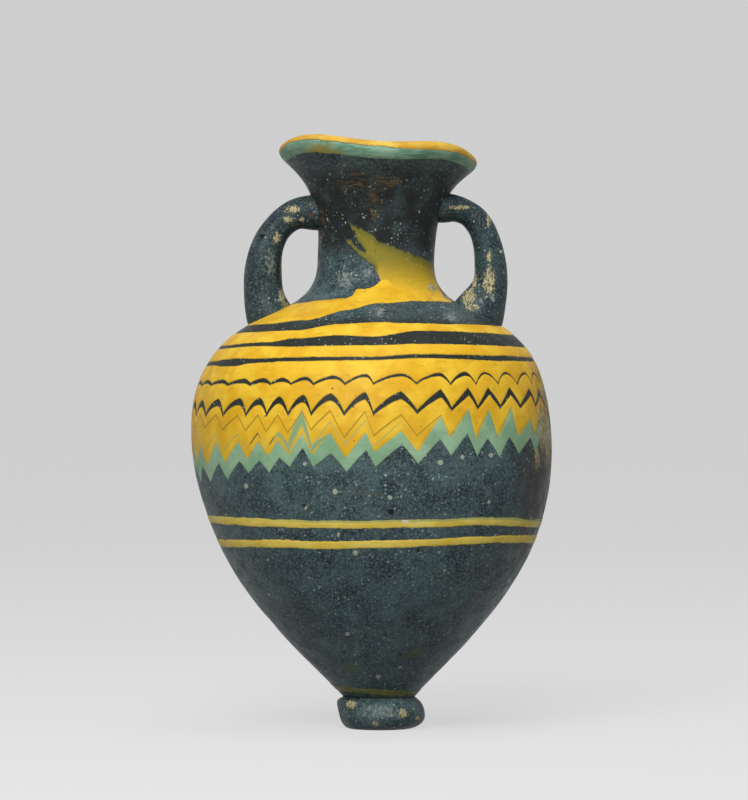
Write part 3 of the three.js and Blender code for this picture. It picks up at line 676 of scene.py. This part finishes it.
# %% Vessel wall
def glass_thickness(height):
    belly = lerp(BASE_WALL, BELLY_WALL, smooth(height, FOOT_HEIGHT, BELLY_HEIGHT))
    neck = lerp(belly, NECK_WALL, smooth(height, BELLY_HEIGHT, NECK_HEIGHT))
    return lerp(neck, LIP_WALL, smooth(height, NECK_HEIGHT, MOUTH_HEIGHT))


def wall_profile():
    outer_rows, lip_rows, inner_rows = 170, 14, 60
    outside = [wall_at(MOUTH_ALONG * row / outer_rows) for row in range(outer_rows + 1)]
    lip = [wall_at(lerp(MOUTH_ALONG, LIP_ALONG, row / lip_rows)) for row in range(1, lip_rows + 1)]
    inside = []
    for row in range(inner_rows - 1, -1, -1):
        along = MOUTH_ALONG * row / inner_rows
        inside.append(wall_at(along, -glass_thickness(wall_at(along).y)))
    tip = Vector((0, FOOT_HEIGHT - 1.2))
    floor = Vector((0, inside[-1].y - 0.4))
    return [tip, *outside, *lip, *inside, floor]


piece("vessel_wall_skin", spin_profile(wall_profile(), WALL_COLUMNS), DARK_GLASS,
      ["vessel_wall"])

# %% [markdown]
# Foot
#
# The foot is a small gather of glass pushed up under the tip. It bulges where it was squeezed
# and is flat underneath. A short profile and the same spin make it.

# %% Foot
FOOT_COLUMNS = 96


def foot_profile():
    flat, bulge, bulge_height, rows = 4.2, 6.3, 2.85, 14
    seam = (WAIST_RADIUS + 0.05, FOOT_HEIGHT + 0.05)
    lower = [(flat, 0), (flat + 0.95, 0), (bulge, bulge_height - 1.5), (bulge, bulge_height)]
    upper = [(bulge, bulge_height), (bulge, lerp(bulge_height, FOOT_HEIGHT, 0.75)),
             (5.35, FOOT_HEIGHT - 0.25), seam]
    outside = [bezier(lower, row / rows) for row in range(rows + 1)]
    outside += [bezier(upper, row / rows) for row in range(1, rows + 1)]
    return [Vector((0, 0)), Vector((flat / 2, 0)), *outside, Vector((0, FOOT_HEIGHT - 0.6))]


piece("foot_pad_skin", spin_profile(foot_profile(), FOOT_COLUMNS), DARK_GLASS, ["foot_pad"])

# %% [markdown]
# The comb
#
# After winding, a point was drawn down through the soft threads and back up beside it, again and
# again round the flask. Each thread became a zigzag: a downward stroke gives it a low point and
# an upward stroke a high one. High up only the upward strokes reach, so a line there hangs like
# a garland between sharp peaks, and at the lower border only the downward strokes do, so it
# runs in pointed drips. The strokes in front are placed as the maker placed them.

# %% Comb strokes
FRONT_STROKES = [-65, -53.6, -42.6, -34.2, -26.5, -18.7, -8.2, 0.8, 14.1, 25, 34.3, 43.4, 53]
FRONT_PEAKS = [-57.4, -46.1, -37.5, -30, -21.7, -12.6, -1.7, 9.3, 21.5, 31, 38.7, 48.2, 60]
BACK_STROKES = 23
COLUMNS_PER_STROKE = 12


def comb_turns():
    """Degrees wound at each low and high point, once round, as (wound, is it a high point)."""
    pace = (360 - (FRONT_STROKES[-1] - FRONT_STROKES[0])) / (BACK_STROKES + 1)
    back = [FRONT_STROKES[-1] + pace * (place + 1) for place in range(BACK_STROKES)]
    strokes = FRONT_STROKES + back + [FRONT_STROKES[0] + 360]
    middles = [(here + there) / 2 for here, there in zip(strokes, strokes[1:])]
    peaks = FRONT_PEAKS + middles[len(FRONT_PEAKS):]
    turns = []
    for low, high in zip(strokes, peaks):
        turns += [((90 - low) % 360, 0), ((90 - high) % 360, 1)]
    return sorted(turns)


TURNS = comb_turns()


def comb_place(step):
    """Degrees wound, and how far from a low point (0) to a high one (1), at a step of the comb."""
    whole = math.floor(step)
    ends = []
    for index in (whole, whole + 1):
        wound, high = TURNS[index % len(TURNS)]
        ends.append((wound + 360 * (index // len(TURNS)), high))
    share = step - whole
    return lerp(ends[0][0], ends[1][0], share), lerp(ends[0][1], ends[1][1], share)


def comb_step(wound):
    """The comb step nearest to a number of degrees wound."""
    turn, rest = divmod(wound, 360)
    nearest = min(range(len(TURNS)), key=lambda index: abs(TURNS[index][0] - rest))
    return nearest + len(TURNS) * int(turn)


def leaning(wound, height):
    """On the right the strokes lean outward as they rise from the border to the lines above it."""
    degrees, rise = 90 - wound % 360, height - BELLY_HEIGHT
    if degrees <= 0:
        return wound
    side = smooth(degrees, 0, 20) * smooth(degrees, 88, 66)
    return wound - 0.055 * degrees * side * smooth(rise, 0.5, 6.5) * smooth(rise, 14, 9)


def swing(rise, style):
    """From -1 to 1: style -1 hangs in garlands, 0 is a plain zigzag, 1 runs in drips."""
    zigzag = 2 * rise - 1
    garland = 2 * rise * rise - 1
    drip = 1 - 2 * (1 - rise) * (1 - rise)
    return lerp(zigzag, garland, -style) if style < 0 else lerp(zigzag, drip, style)


# %% [markdown]
# Laying a thread
#
# Every thread is a flat grid bent onto the wall: its length follows the comb steps, its width
# runs between a lower and an upper edge. The grid stands a few hundredths of a millimetre proud
# in the middle and dips under the wall at its edges, so that it looks rolled in. A Solidify
# modifier gives it depth. The edges wander a little, as a hand-laid thread does.

# %% Tables of the decoration
# "wound" is degrees from the right handle round the front. Heights are above the widest place.
DARK_LINE = [
    (0, 17.5, 3.2, 0), (57, 17.6, 3.2, 0), (90, 17.5, 2.6, 0), (106, 16.9, 1.9, 0), (123, 15.8, 1.3, 0),
    (150, 15.5, 1.0, 0), (215, 15.1, 0.9, 0), (330, 14.1, 1.4, 0), (374, 13.8, 1.6, 0), (432, 14.1, 1.7, 0),
    (450, 13.6, 1.1, 0), (464, 13.65, 1.3, 0), (480, 13.4, 1.0, 0), (494, 13.2, 0.4, 0), (528, 12.9, 0.3, 0),
    (600, 12.3, 0.4, 0), (700, 11.4, 0.4, 0), (734, 11.2, 0.35, 0), (761, 11.3, 0.55, 0), (793, 11.5, 0.4, 0),
    (810, 11.2, 0.3, 0), (840, 11.1, 0.38, 0), (856, 10.9, 0.45, 0), (864, 10.75, 0.9, 0),
    (872, 10.7, 0.8, 0), (880, 10.65, 0.45, 0), (960, 9.8, 0.4, 0), (1050, 8.8, 0.3, 0.4),
    (1094, 8.55, 0.12, 0.75), (1133, 8.5, 0.14, 0.75), (1139, 8.45, 0.36, 0.7), (1146, 8.4, 0.32, 0.65),
    (1152, 8.4, 0.18, 0.6),
    (1172, 8.3, 0.24, 0.55), (1190, 8.1, 0.3, 0.38), (1204, 8.0, 0.34, 0.26), (1214, 7.95, 0.5, 0.22),
    (1222, 7.9, 0.34, 0.22), (1260, 7.8, 0.3, 0.25), (1350, 6.9, 0.5, 0.6), (1420, 6.0, 0.75, 0.9),
    (1454, 5.8, 0.75, 0.9), (1490, 5.7, 0.75, 1.1), (1530, 4.95, 0.75, 1.2), (1575, 4.45, 0.75, 0.9),
    (1610, 4.2, 0.75, 0.8), (1740, 3.6, 0.75, 0.6),
]
FIRST_TURN_TOP = [
    (24, 19.6), (40, 20.2), (70, 21.2), (82, 22.3), (86, 22.1), (89.5, 21.6), (92.5, 21.3), (95.5, 21.1),
    (100, 20.95), (105, 21.0), (106.5, 20.9), (107.8, 19.95), (112, 19.65), (131, 19.4), (150, 19.1),
    (200, 18.3), (270, 16.9), (345, 16.0), (384, 15.9),
]
# Combed borders round the sides and the back: middle height, and how far the comb drew it.
YELLOW_HEM = [
    (-60, 2.7, 0.5), (-30, 2.8, 1.4), (14, 2.5, 1.8), (31, 2.4, 1.9), (156, -1.9, 1.65), (174, -1.9, 1.5),
    (215, -1.7, 1.1), (250, -0.7, 0.8), (290, 2.3, 0.4), (300, 2.7, 0.3),
]
BAND_HEM = [
    (-60, 2.2, 0.4), (-25, 0.9, 0.8), (14, -0.8, 1.1), (37, -0.8, 1.15), (154, -4.8, 1.2), (174, -4.8, 1.2),
    (215, -3.8, 1.0), (250, -1.4, 0.7), (290, 1.9, 0.4), (300, 2.2, 0.4),
]
# Heights of the strokes in front, from the left: low points, and the high point that follows each.
YELLOW_STROKES = (
    [-3.5, -3.1, -2.5, -2.05, -1.9, -1.9, -2.3, -1.45, -1.5, 0.45, 0.3, 0.4, 0.6],
    [-0.15, -0.1, -0.1, 0.05, 1.0, 1.2, 1.2, 1.35, 3.3, 4.3, 4.25, 4.5, 2.9])
BAND_STROKES = (
    [-5.9, -5.4, -4.5, -4.4, -3.5, -3.6, -4.2, -3.6, -3.1, -2.1, -2.1, -2.3, -1.9],
    [-3.2, -2.85, -2.8, -2.3, -1.0, -1.7, -1.3, -0.5, 0.15, 0.9, 0.2, 0.4, 0.3])
# Lines combed into the last yellow turn: middle, how far the comb drew it, and width.
UPPER_LINE = [
    (60, 2.2, 1.3, 0.08), (80, 2.2, 1.4, 0.24), (91, 2.4, 1.6, 0.3), (98, 2.3, 1.7, 0.3),
    (108, 3.0, 1.4, 0.3), (116, 2.4, 1.2, 0.3), (140, 2.5, 1.0, 0.28), (155, 2.7, 0.9, 0.26),
    (200, 2.4, 0.9, 0.22), (236, 2.2, 0.8, 0.12)]
LOWER_LINE = [
    (76, 1.2, 1.5, 0.1), (86, 1.1, 1.7, 0.26), (98, 1.2, 1.6, 0.34), (110, 0.9, 1.5, 0.34),
    (120, 0.2, 1.1, 0.26), (132, -0.1, 1.1, 0.24), (150, -0.2, 1.1, 0.24), (200, -0.4, 1.0, 0.2),
    (236, -0.2, 0.8, 0.1)]
TURQUOISE_BLOB = [
    (103, -0.3, 1.5, 0.3), (107, 0.4, 1.6, 0.6), (111, 1.5, 1.7, 1.9), (114, 1.4, 1.7, 2.0),
    (118, 0.3, 1.3, 0.8), (122, -0.4, 1.1, 0.3)]
# Smears hold their lower and upper edge, and how far each is from being seen.
SMEAR = [
    (-14, 23.3, 23.8, 0, 0), (0, 22.7, 24.4, 0, 0), (16, 20.6, 24.9, 0, 0), (28, 19.3, 25.2, 5, 0),
    (45, 19.2, 25.7, 5, 0), (60, 19.2, 26.3, 5, 0), (72, 19.2, 26.9, 5, 0), (80, 20.3, 27.2, 5, 0),
    (84, 21.7, 27.35, 5, 0), (90, 23.0, 27.7, 0, 0), (93, 23.9, 27.9, 0, 0), (97, 24.6, 28.3, 0, 0),
]
UPPER_PRONG = [
    (91, 24.4, 28.0, 5, 0), (98, 25.5, 28.7, 5, 0), (102, 26.1, 29.1, 0, 0), (108, 27.2, 29.6, 0, 0),
    (114, 28.8, 29.9, 0, 0), (119, 30.1, 30.4, 0, 0)]
LOWER_PRONG = [
    (88, 23.3, 25.9, 0, 5), (95, 24.2, 26.0, 0, 5), (98, 24.5, 26.1, 0, 5), (102, 24.9, 26.3, 0, 0),
    (107, 25.4, 26.6, 0, 0), (112, 26.1, 27.1, 0, 0), (118, 27.0, 27.9, 0, 0), (125, 28.0, 28.3, 0, 0)]
UPPER_RING = [
    (15, -11.5), (52, -10.9), (75, -11.05), (104, -11.15), (136, -11.05), (167, -10.95), (270, -11.2),
    (375, -11.5)]
LOWER_RING = [
    (5, -13.8), (45, -13.4), (87, -13.8), (105, -14.0), (127, -13.9), (173, -14.3), (270, -14.2),
    (365, -13.8)]


def between(rows, place, column):
    if place <= rows[0][0]:
        return rows[0][column]
    for here, there in zip(rows, rows[1:]):
        if place < there[0]:
            return lerp(here[column], there[column], smooth(place, here[0], there[0]))
    return rows[-1][column]


def between_round(rows, wound, column):
    return between(rows, rows[0][0] + (wound - rows[0][0]) % 360, column)


# %% Lay a thread on the wall
PROUD = 0.05
EDGE_DIP = 0.04
EDGE_ROUND = 0.3


def wander(wound, seed, size=0.06):
    """How far an edge strays: slow waves and a fine raggedness, the same at every run."""
    angle = math.radians(wound)
    around = Vector((math.cos(angle) * 5, math.sin(angle) * 5, wound * 0.004 + seed * 7.3))
    return size * (noise.noise(around * 1.6) + 0.7 * noise.noise(around * 7.0))


def outward(face):
    middle = face.calc_center_median()
    return face.normal.dot(Vector((middle.x, middle.y, 0)))


def lay_thread(name, first, last, edges_at, material, nodes=(), rows=8, depth=0.5, lift=0.0,
               closed=False, marks=()):
    """Bend a grid onto the wall. edges_at gives the lower and upper place along the outline, and
    how far each is from being seen. A mark is an attribute's name and its function."""
    mesh = bmesh.new()
    for mark in ("from_edge", "across", *(mark for mark, _ in marks)):
        mesh.verts.layers.float.new(mark)
    columns = max(4, round((last - first) * COLUMNS_PER_STROKE / 2))
    bmesh.ops.create_grid(mesh, x_segments=columns, y_segments=rows, size=0.5)
    from_edge, across = mesh.verts.layers.float["from_edge"], mesh.verts.layers.float["across"]
    for vert in mesh.verts:
        share, side = vert.co.x + 0.5, 0.5 - 0.5 * math.cos(math.pi * (vert.co.y + 0.5))
        wound, rise = comb_place(lerp(first, last, share))
        low, high, hidden_low, hidden_high = edges_at(wound, rise)
        width = high - low
        vert[across] = side
        vert[from_edge] = min(side * width + hidden_low, (1 - side) * width + hidden_high)
        level = lerp(-EDGE_DIP, PROUD + lift, smooth(min(side, 1 - side) * width, 0.0, EDGE_ROUND))
        place = wall_at(lerp(low, high, side), level)
        for mark, value_at in marks:
            vert[mesh.verts.layers.float[mark]] = value_at(wound, rise, place.y - BELLY_HEIGHT)
        vert.co = standing(place, leaning(wound, place.y))
    if closed:
        bmesh.ops.remove_doubles(mesh, verts=mesh.verts[:], dist=0.01)
    mesh.normal_update()
    if sum(outward(face) for face in mesh.faces) < 0:
        bmesh.ops.reverse_faces(mesh, faces=mesh.faces[:])
    piece(name, mesh, material, nodes, depth)


# %% [markdown]
# The yellow thread
#
# It starts as a smear on the neck, where the hot glass first touched, and then winds six times
# down the shoulder. The dark line between two turns is what the tables hold, because that line
# is what the eye follows on the real flask.

# %% Yellow thread on the shoulder
FIRST_TOUCH = 24
LAST_TURN = 5 * 360 + 14
THREAD_END = 6 * 360 - 62
COMBED_FROM = 1094
GROWN = 0.1


def spread(low, high):
    """Places along the outline for two heights, grown by what the thread's sunk edges hide."""
    return along_on_body(low) - GROWN, along_on_body(max(high, low + 0.05)) + GROWN


def line_edge(wound, rise, side, style):
    comb = between(DARK_LINE, wound, 3) * swing(rise, style)
    width = between(DARK_LINE, wound, 2)
    if wound > COMBED_FROM:
        width *= lerp(0.55, 1.15, rise)
    return between(DARK_LINE, wound, 1) + comb + side * width / 2


def line_style(wound):
    """The upper line is a row of arcs. The lower one is pointed on the right, rounder on the left."""
    pointed = lerp(1.0, 0.1, smooth(wound, 1300, 1454))
    return lerp(pointed, 0.9, smooth(wound, 1490, 1560))


def turn_heights(rows, strokes):
    """Height of a combed border at each turn: as measured in front, and by the table elsewhere."""
    heights = []
    for wound, high in TURNS:
        uneven = 1 + 0.25 * noise.noise(Vector((wound * 0.13, rows[0][1], 3.0)))
        height = between_round(rows, wound, 1) + uneven * between_round(rows, wound, 2) * (2 * high - 1)
        for place, measured in zip((FRONT_STROKES, FRONT_PEAKS)[high], strokes[high]):
            if abs(90 - place - wound) < 0.01:
                height = measured
        heights.append(height)
    return heights


YELLOW_HEIGHTS = turn_heights(YELLOW_HEM, YELLOW_STROKES)
BAND_HEIGHTS = turn_heights(BAND_HEM, BAND_STROKES)


def hem(heights, wound, rise, style):
    """Height of a combed border, between the turn before and the turn after."""
    after = sum(1 for turn, _ in TURNS if turn <= wound % 360) % len(TURNS)
    low, high = heights[after - 1], heights[after]
    if TURNS[after - 1][1]:
        low, high = high, low
    return lerp(low, high, (swing(rise, style) + 1) / 2)


def yellow_edges(wound, rise):
    if wound < FIRST_TURN_TOP[-1][0]:
        high = between(FIRST_TURN_TOP, wound, 1)
    else:
        high = line_edge(wound - 360, rise, -1, line_style(wound - 360))
    if wound < LAST_TURN:
        low = line_edge(wound, rise, 1, line_style(wound))
    else:
        low = hem(YELLOW_HEIGHTS, wound, rise, 0.0)
    under_smear = 5 * smooth(wound, 96, 84)
    return *spread(low + wander(wound, 1), high + wander(wound, 2)), 0, under_smear


def line_mark(rows):
    """How many half widths a place lies above or below a line in the last turn."""
    def mark(wound, rise, height):
        wound -= 5 * 360
        if not rows[0][0] <= wound <= rows[-1][0]:
            return 9.0
        middle = between(rows, wound, 1) + between(rows, wound, 2) * swing(rise, 0.0)
        return (height - middle) / (between(rows, wound, 3) / 2)
    return mark


lay_thread("shoulder_thread_skin", comb_step(FIRST_TOUCH), comb_step(THREAD_END), yellow_edges, YELLOW_GLASS,
           ["shoulder_thread_yellow"], marks=[
               ("upper_line", line_mark(UPPER_LINE)), ("lower_line", line_mark(LOWER_LINE)),
               ("turquoise_blob", line_mark(TURQUOISE_BLOB)),
               ("last_turn", lambda wound, rise, height: smooth(wound, LAST_TURN - 80, LAST_TURN - 60))])


# %% Smear on the neck
def table_edges(rows, seed):
    def edges(wound, rise):
        low = between(rows, wound, 1) + wander(wound, seed, 0.12)
        high = between(rows, wound, 2) + wander(wound, seed + 1, 0.12)
        return *spread(low, high), between(rows, wound, 3), between(rows, wound, 4)
    return edges


for name, rows, lift in (("neck_smear", SMEAR, -0.03), ("neck_smear_upper_prong", UPPER_PRONG, -0.02),
                         ("neck_smear_lower_prong", LOWER_PRONG, -0.01)):
    lay_thread(name, comb_step(rows[0][0]), comb_step(rows[-1][0]), table_edges(rows, 11), SMEARED_GLASS,
               rows=24, lift=lift)

# %% [markdown]
# Turquoise thread and rings
#
# The turquoise thread lies under the yellow and was combed with it, which gives the band its row
# of teeth. The two rings low on the body and the thin trail above the foot went on after the comb
# had done its work. Each closes on itself, so the ends of its grid are merged.

# %% Turquoise thread
BAND_START, BAND_END = -58, 250


def turquoise_edges(wound, rise):
    low = hem(BAND_HEIGHTS, wound, rise, 0.1) + wander(wound, 4)
    high = hem(YELLOW_HEIGHTS, wound, rise, 0.0) + 0.25
    return *spread(low, high), 0, 5


lay_thread("belly_thread_skin", comb_step(BAND_START), comb_step(BAND_END), turquoise_edges, TURQUOISE_GLASS,
           ["belly_thread_turquoise"], depth=0.45, lift=-0.025)


# %% Threads low on the body and above the foot
def ring_edges(rows, width, seed):
    def edges(wound, rise):
        middle = along_on_body(between_round(rows, wound, 1) + wander(wound % 360, seed, 0.1))
        half = width / 2 * (1 + 1.6 * wander(wound % 360, seed + 3, 0.1)) + GROWN
        return middle - half, middle + half, 0, 0
    return edges


def base_edges(wound, rise):
    middle = along_at(FOOT_HEIGHT + 1.05 - 0.45 * math.cos(math.radians(wound)))
    half = 0.66 * (1 + 2 * wander(wound % 360, 5, 0.2))
    return middle - half, middle + half, 0, 0


ONCE_ROUND = len(TURNS)
lay_thread("lower_thread_upper_skin", 0, ONCE_ROUND, ring_edges(UPPER_RING, width=1.26, seed=31),
           UPPER_RING_GLASS, ["lower_thread_upper"], closed=True)
lay_thread("lower_thread_lower_skin", 0, ONCE_ROUND, ring_edges(LOWER_RING, width=1.24, seed=33),
           RING_GLASS, ["lower_thread_lower"], closed=True)
lay_thread("base_trail_skin", 0, ONCE_ROUND, base_edges, OLIVE_GLASS, ["base_trail_olive"],
           depth=0.3, closed=True)

# %% [markdown]
# Trails round the mouth
#
# The yellow trail caps the lip and the turquoise one lies under it on the outside. Past the
# widest place the outline runs on over the half-round lip, so the same laying works there too.

# %% Lip trails
def lip_seam(wound):
    """Where the two trails meet: a little higher at the left of the front."""
    return MOUTH_ALONG - 0.3 + 0.4 * smooth(wound, 60, 90) * smooth(wound, 175, 150)


def lip_yellow_edges(wound, rise):
    wound %= 360
    return lip_seam(wound) - GROWN + wander(wound, 41, 0.12), LIP_ALONG - 0.4 + wander(wound, 42, 0.25), 0, 0


def lip_turquoise_edges(wound, rise):
    wound %= 360
    return MOUTH_ALONG - 1.95 + wander(wound, 43, 0.15), lip_seam(wound) + 0.2 + wander(wound, 41, 0.12), 0, 5


lay_thread("lip_trail_turquoise_skin", 0, ONCE_ROUND, lip_turquoise_edges, LIP_TURQUOISE_GLASS,
           ["lip_trail_turquoise"], depth=0.35, lift=-0.025, closed=True)
lay_thread("lip_trail_yellow_skin", 0, ONCE_ROUND, lip_yellow_edges, LIP_YELLOW_GLASS,
           ["lip_trail_yellow"], rows=20, depth=0.35, lift=-0.01, closed=True)

# %% [markdown]
# Handles
#
# Each handle is a rod of hot glass, stuck to the shoulder, pulled up and over and pressed on to
# the neck. It is thick at the shoulder and drawn thin at the crown. A ring of points is extruded
# from place to place along a smooth line, and its roots run on into the wall.

# %% Handles
HANDLE_SIDES = 36
HANDLE_STEPS = 64


def smooth_line(points, steps):
    """Points of a centripetal curve through the given ones."""
    ends = [points[0] * 2 - points[1], *points, points[-1] * 2 - points[-2]]
    placed = []
    for step in range(steps + 1):
        place = (len(points) - 1) * step / steps
        index = min(int(place), len(points) - 2)
        before, a, b, after = ends[index:index + 4]
        one, two, three = [math.sqrt((q - p).length) for p, q in ((before, a), (a, b), (b, after))]
        leave = ((a - before) / one - (b - before) / (one + two) + (b - a) / two) * two
        reach = ((b - a) / two - (after - a) / (two + three) + (after - b) / three) * two
        placed.append(bezier([a, a + leave / 3, b - reach / 3, b], place - index))
    return placed


def handle_line(side, neck_root, bend, shank, shoulder_root):
    """Places of a handle from neck to shoulder, each as out, up and thickness."""
    neck = wall_at(along_at(NECK_HEIGHT + neck_root[0]))
    shoulder_along = along_on_body(shoulder_root[0])
    shoulder, buried = wall_at(shoulder_along), wall_at(shoulder_along, -1.8)
    line = [(neck.x - 1.6, neck.y, neck_root[1]), (neck.x, neck.y, neck_root[1])]
    line += [(neck.x + out, neck.y + up, thick) for out, up, thick in bend]
    line += [(shoulder.x + out, shoulder.y + up, thick) for out, up, thick in shank]
    line += [(shoulder.x, shoulder.y, shoulder_root[1]), (buried.x, buried.y, shoulder_root[1])]
    return [Vector((side * out, up, thick)) for out, up, thick in line]


def draw_handle(name, node, line, seed):
    """A rod that follows a line of out, up and thickness, a little broader than thick."""
    centres = smooth_line(line, HANDLE_STEPS)
    mesh = bmesh.new()
    ring = bmesh.ops.create_circle(mesh, cap_ends=True, segments=HANDLE_SIDES, radius=1.0)["verts"]
    angles = [math.atan2(vert.co.y, vert.co.x) for vert in ring]
    for step, centre in enumerate(centres):
        if step:
            edges = [edge for edge in mesh.edges if edge.verts[0] in ring and edge.verts[1] in ring]
            grown = bmesh.ops.extrude_edge_only(mesh, edges=edges)["geom"]
            old = dict(zip(ring, angles))
            fresh = [part for part in grown if isinstance(part, bmesh.types.BMVert)]
            angles = [old[min(ring, key=lambda vert: (vert.co - new.co).length)] for new in fresh]
            ring = fresh
        ahead = centres[min(step + 1, HANDLE_STEPS)] - centres[max(step - 1, 0)]
        out, half = Vector((ahead.y, -ahead.x)).normalized(), centre.z / 2
        for vert, angle in zip(ring, angles):
            around = Vector((step * 0.09, math.cos(angle) * 0.7, seed + math.sin(angle) * 0.7))
            bump = 1 + 0.05 * noise.noise(around)
            side = out * (half * bump * math.cos(angle))
            vert.co = Vector((centre.x + side.x, half * bump * 1.12 * math.sin(angle), centre.y + side.y))
    bmesh.ops.edgeloop_fill(mesh, edges=[edge for edge in mesh.edges if edge.is_boundary])
    bmesh.ops.recalc_face_normals(mesh, faces=mesh.faces[:])
    piece(name, mesh, HANDLE_GLASS, [node])


draw_handle("handle_left_skin", "handle_left", handle_line(
    side=-1, neck_root=(6.85, 4.9), bend=[(2.8, -0.3, 4.2), (5.05, -1.8, 4.0), (6.6, -4.35, 4.5)],
    shank=[(1.2, 6.3, 5.2), (0.85, 2.7, 5.6)], shoulder_root=(17.55, 6.4)), seed=3.0)
draw_handle("handle_right_skin", "handle_right", handle_line(
    side=1, neck_root=(7.75, 4.7), bend=[(2.0, -0.18, 4.1), (4.08, -1.25, 3.7), (5.7, -3.45, 3.75)],
    shank=[(1.33, 7.7, 4.35), (1.45, 4.2, 5.0)], shoulder_root=(17.7, 7.6)), seed=8.0)

# %% [markdown]
# Studio
#
# A flask this small is photographed from half a metre with a long lens, level with its belly.
# The floor is a wide pale disc, and the world has the same paleness, so that no line shows where
# they meet. Soft area lamps light the flask: a large one high at the left, a weak one low at the
# right to fill the shadows, and one above that draws the rim and the handles.

# %% Floor and world
PALE = 0.62
SKY = 0.14
FLOOR_COLOUR = 0.2
FLOOR_RADIUS = 6.0


def seen_directly(tree):
    """1 for what the camera sees itself, in a reflection or through glass."""
    path = tree.nodes.new("ShaderNodeLightPath")
    found = path.outputs["Is Camera Ray"]
    for ray in ("Is Glossy Ray", "Is Transmission Ray"):
        either = tree.nodes.new("ShaderNodeMath")
        either.operation = "MAXIMUM"
        tree.links.new(found, either.inputs[0])
        tree.links.new(path.outputs[ray], either.inputs[1])
        found = either.outputs[0]
    return found


def floor_material():
    material = bpy.data.materials.new("studio_floor")
    material.use_nodes = True
    tree = material.node_tree
    shader = tree.nodes["Principled BSDF"]
    shader.inputs["Base Color"].default_value = (FLOOR_COLOUR, FLOOR_COLOUR, FLOOR_COLOUR, 1)
    shader.inputs["Specular IOR Level"].default_value = 0
    shader.inputs["Roughness"].default_value = 0.9
    shader.inputs["Emission Color"].default_value = (1, 1, 1, 1)
    glow = tree.nodes.new("ShaderNodeMath")
    glow.operation = "MULTIPLY"
    tree.links.new(seen_directly(tree), glow.inputs[0])
    glow.inputs[1].default_value = PALE - FLOOR_COLOUR * SKY
    tree.links.new(glow.outputs[0], shader.inputs["Emission Strength"])
    return material


floor_mesh = bmesh.new()
bmesh.ops.create_circle(floor_mesh, cap_ends=True, segments=96, radius=FLOOR_RADIUS)
floor_data = bpy.data.meshes.new("studio_floor")
floor_mesh.to_mesh(floor_data)
floor_mesh.free()
floor_data.materials.append(floor_material())
floor = bpy.data.objects.new("studio_floor", floor_data)
bpy.context.scene.collection.objects.link(floor)

world = bpy.data.worlds.new("studio")
bpy.context.scene.world = world
world.use_nodes = True
sky = world.node_tree.nodes["Background"]
shade = world.node_tree.nodes.new("ShaderNodeMix")
shade.data_type = "RGBA"
world.node_tree.links.new(seen_directly(world.node_tree), shade.inputs[0])
shade.inputs[6].default_value = (SKY, SKY, SKY, 1)
shade.inputs[7].default_value = (PALE, PALE, PALE, 1)
world.node_tree.links.new(shade.outputs[2], sky.inputs["Color"])
sky.inputs["Strength"].default_value = 1.0


# %% Lamps
AIM = Vector((0, 0, 0.04))


def lamp(name, place, size, watts):
    data = bpy.data.lights.new(name, "AREA")
    data.size = size
    data.energy = watts
    made = bpy.data.objects.new(name, data)
    made.location = place
    made.rotation_euler = (AIM - Vector(place)).to_track_quat("-Z", "Y").to_euler()
    bpy.context.scene.collection.objects.link(made)


lamp("key_lamp", (-0.14, -0.54, 0.44), size=0.4, watts=4.0)
lamp("fill_lamp", (0.4, -0.5, 0.12), size=0.5, watts=0.5)
lamp("top_lamp", (0.02, -0.1, 0.6), size=0.35, watts=0.9)

# %% [markdown]
# Camera
#
# The view was measured on the flask: the rim is seen from a little below and the lower threads
# from a little above, which puts the lens level at about half height. A 180 mm lens at 560 mm
# gives 0.14 mm of the flask to each pixel of the picture.

# %% Camera
LENS, SENSOR = 180, 36
CAMERA_PLACE = Vector((-0.77, -560, 45.9))
camera_data = bpy.data.cameras.new("camera")
camera_data.sensor_fit = "VERTICAL"
camera_data.sensor_height = SENSOR
camera_data.lens = LENS
camera = bpy.data.objects.new("camera", camera_data)
camera.location = CAMERA_PLACE * MM
camera.rotation_euler = (math.radians(90), 0, 0)
bpy.context.scene.collection.objects.link(camera)
bpy.context.scene.camera = camera
bpy.context.scene.view_settings.view_transform = "Standard"
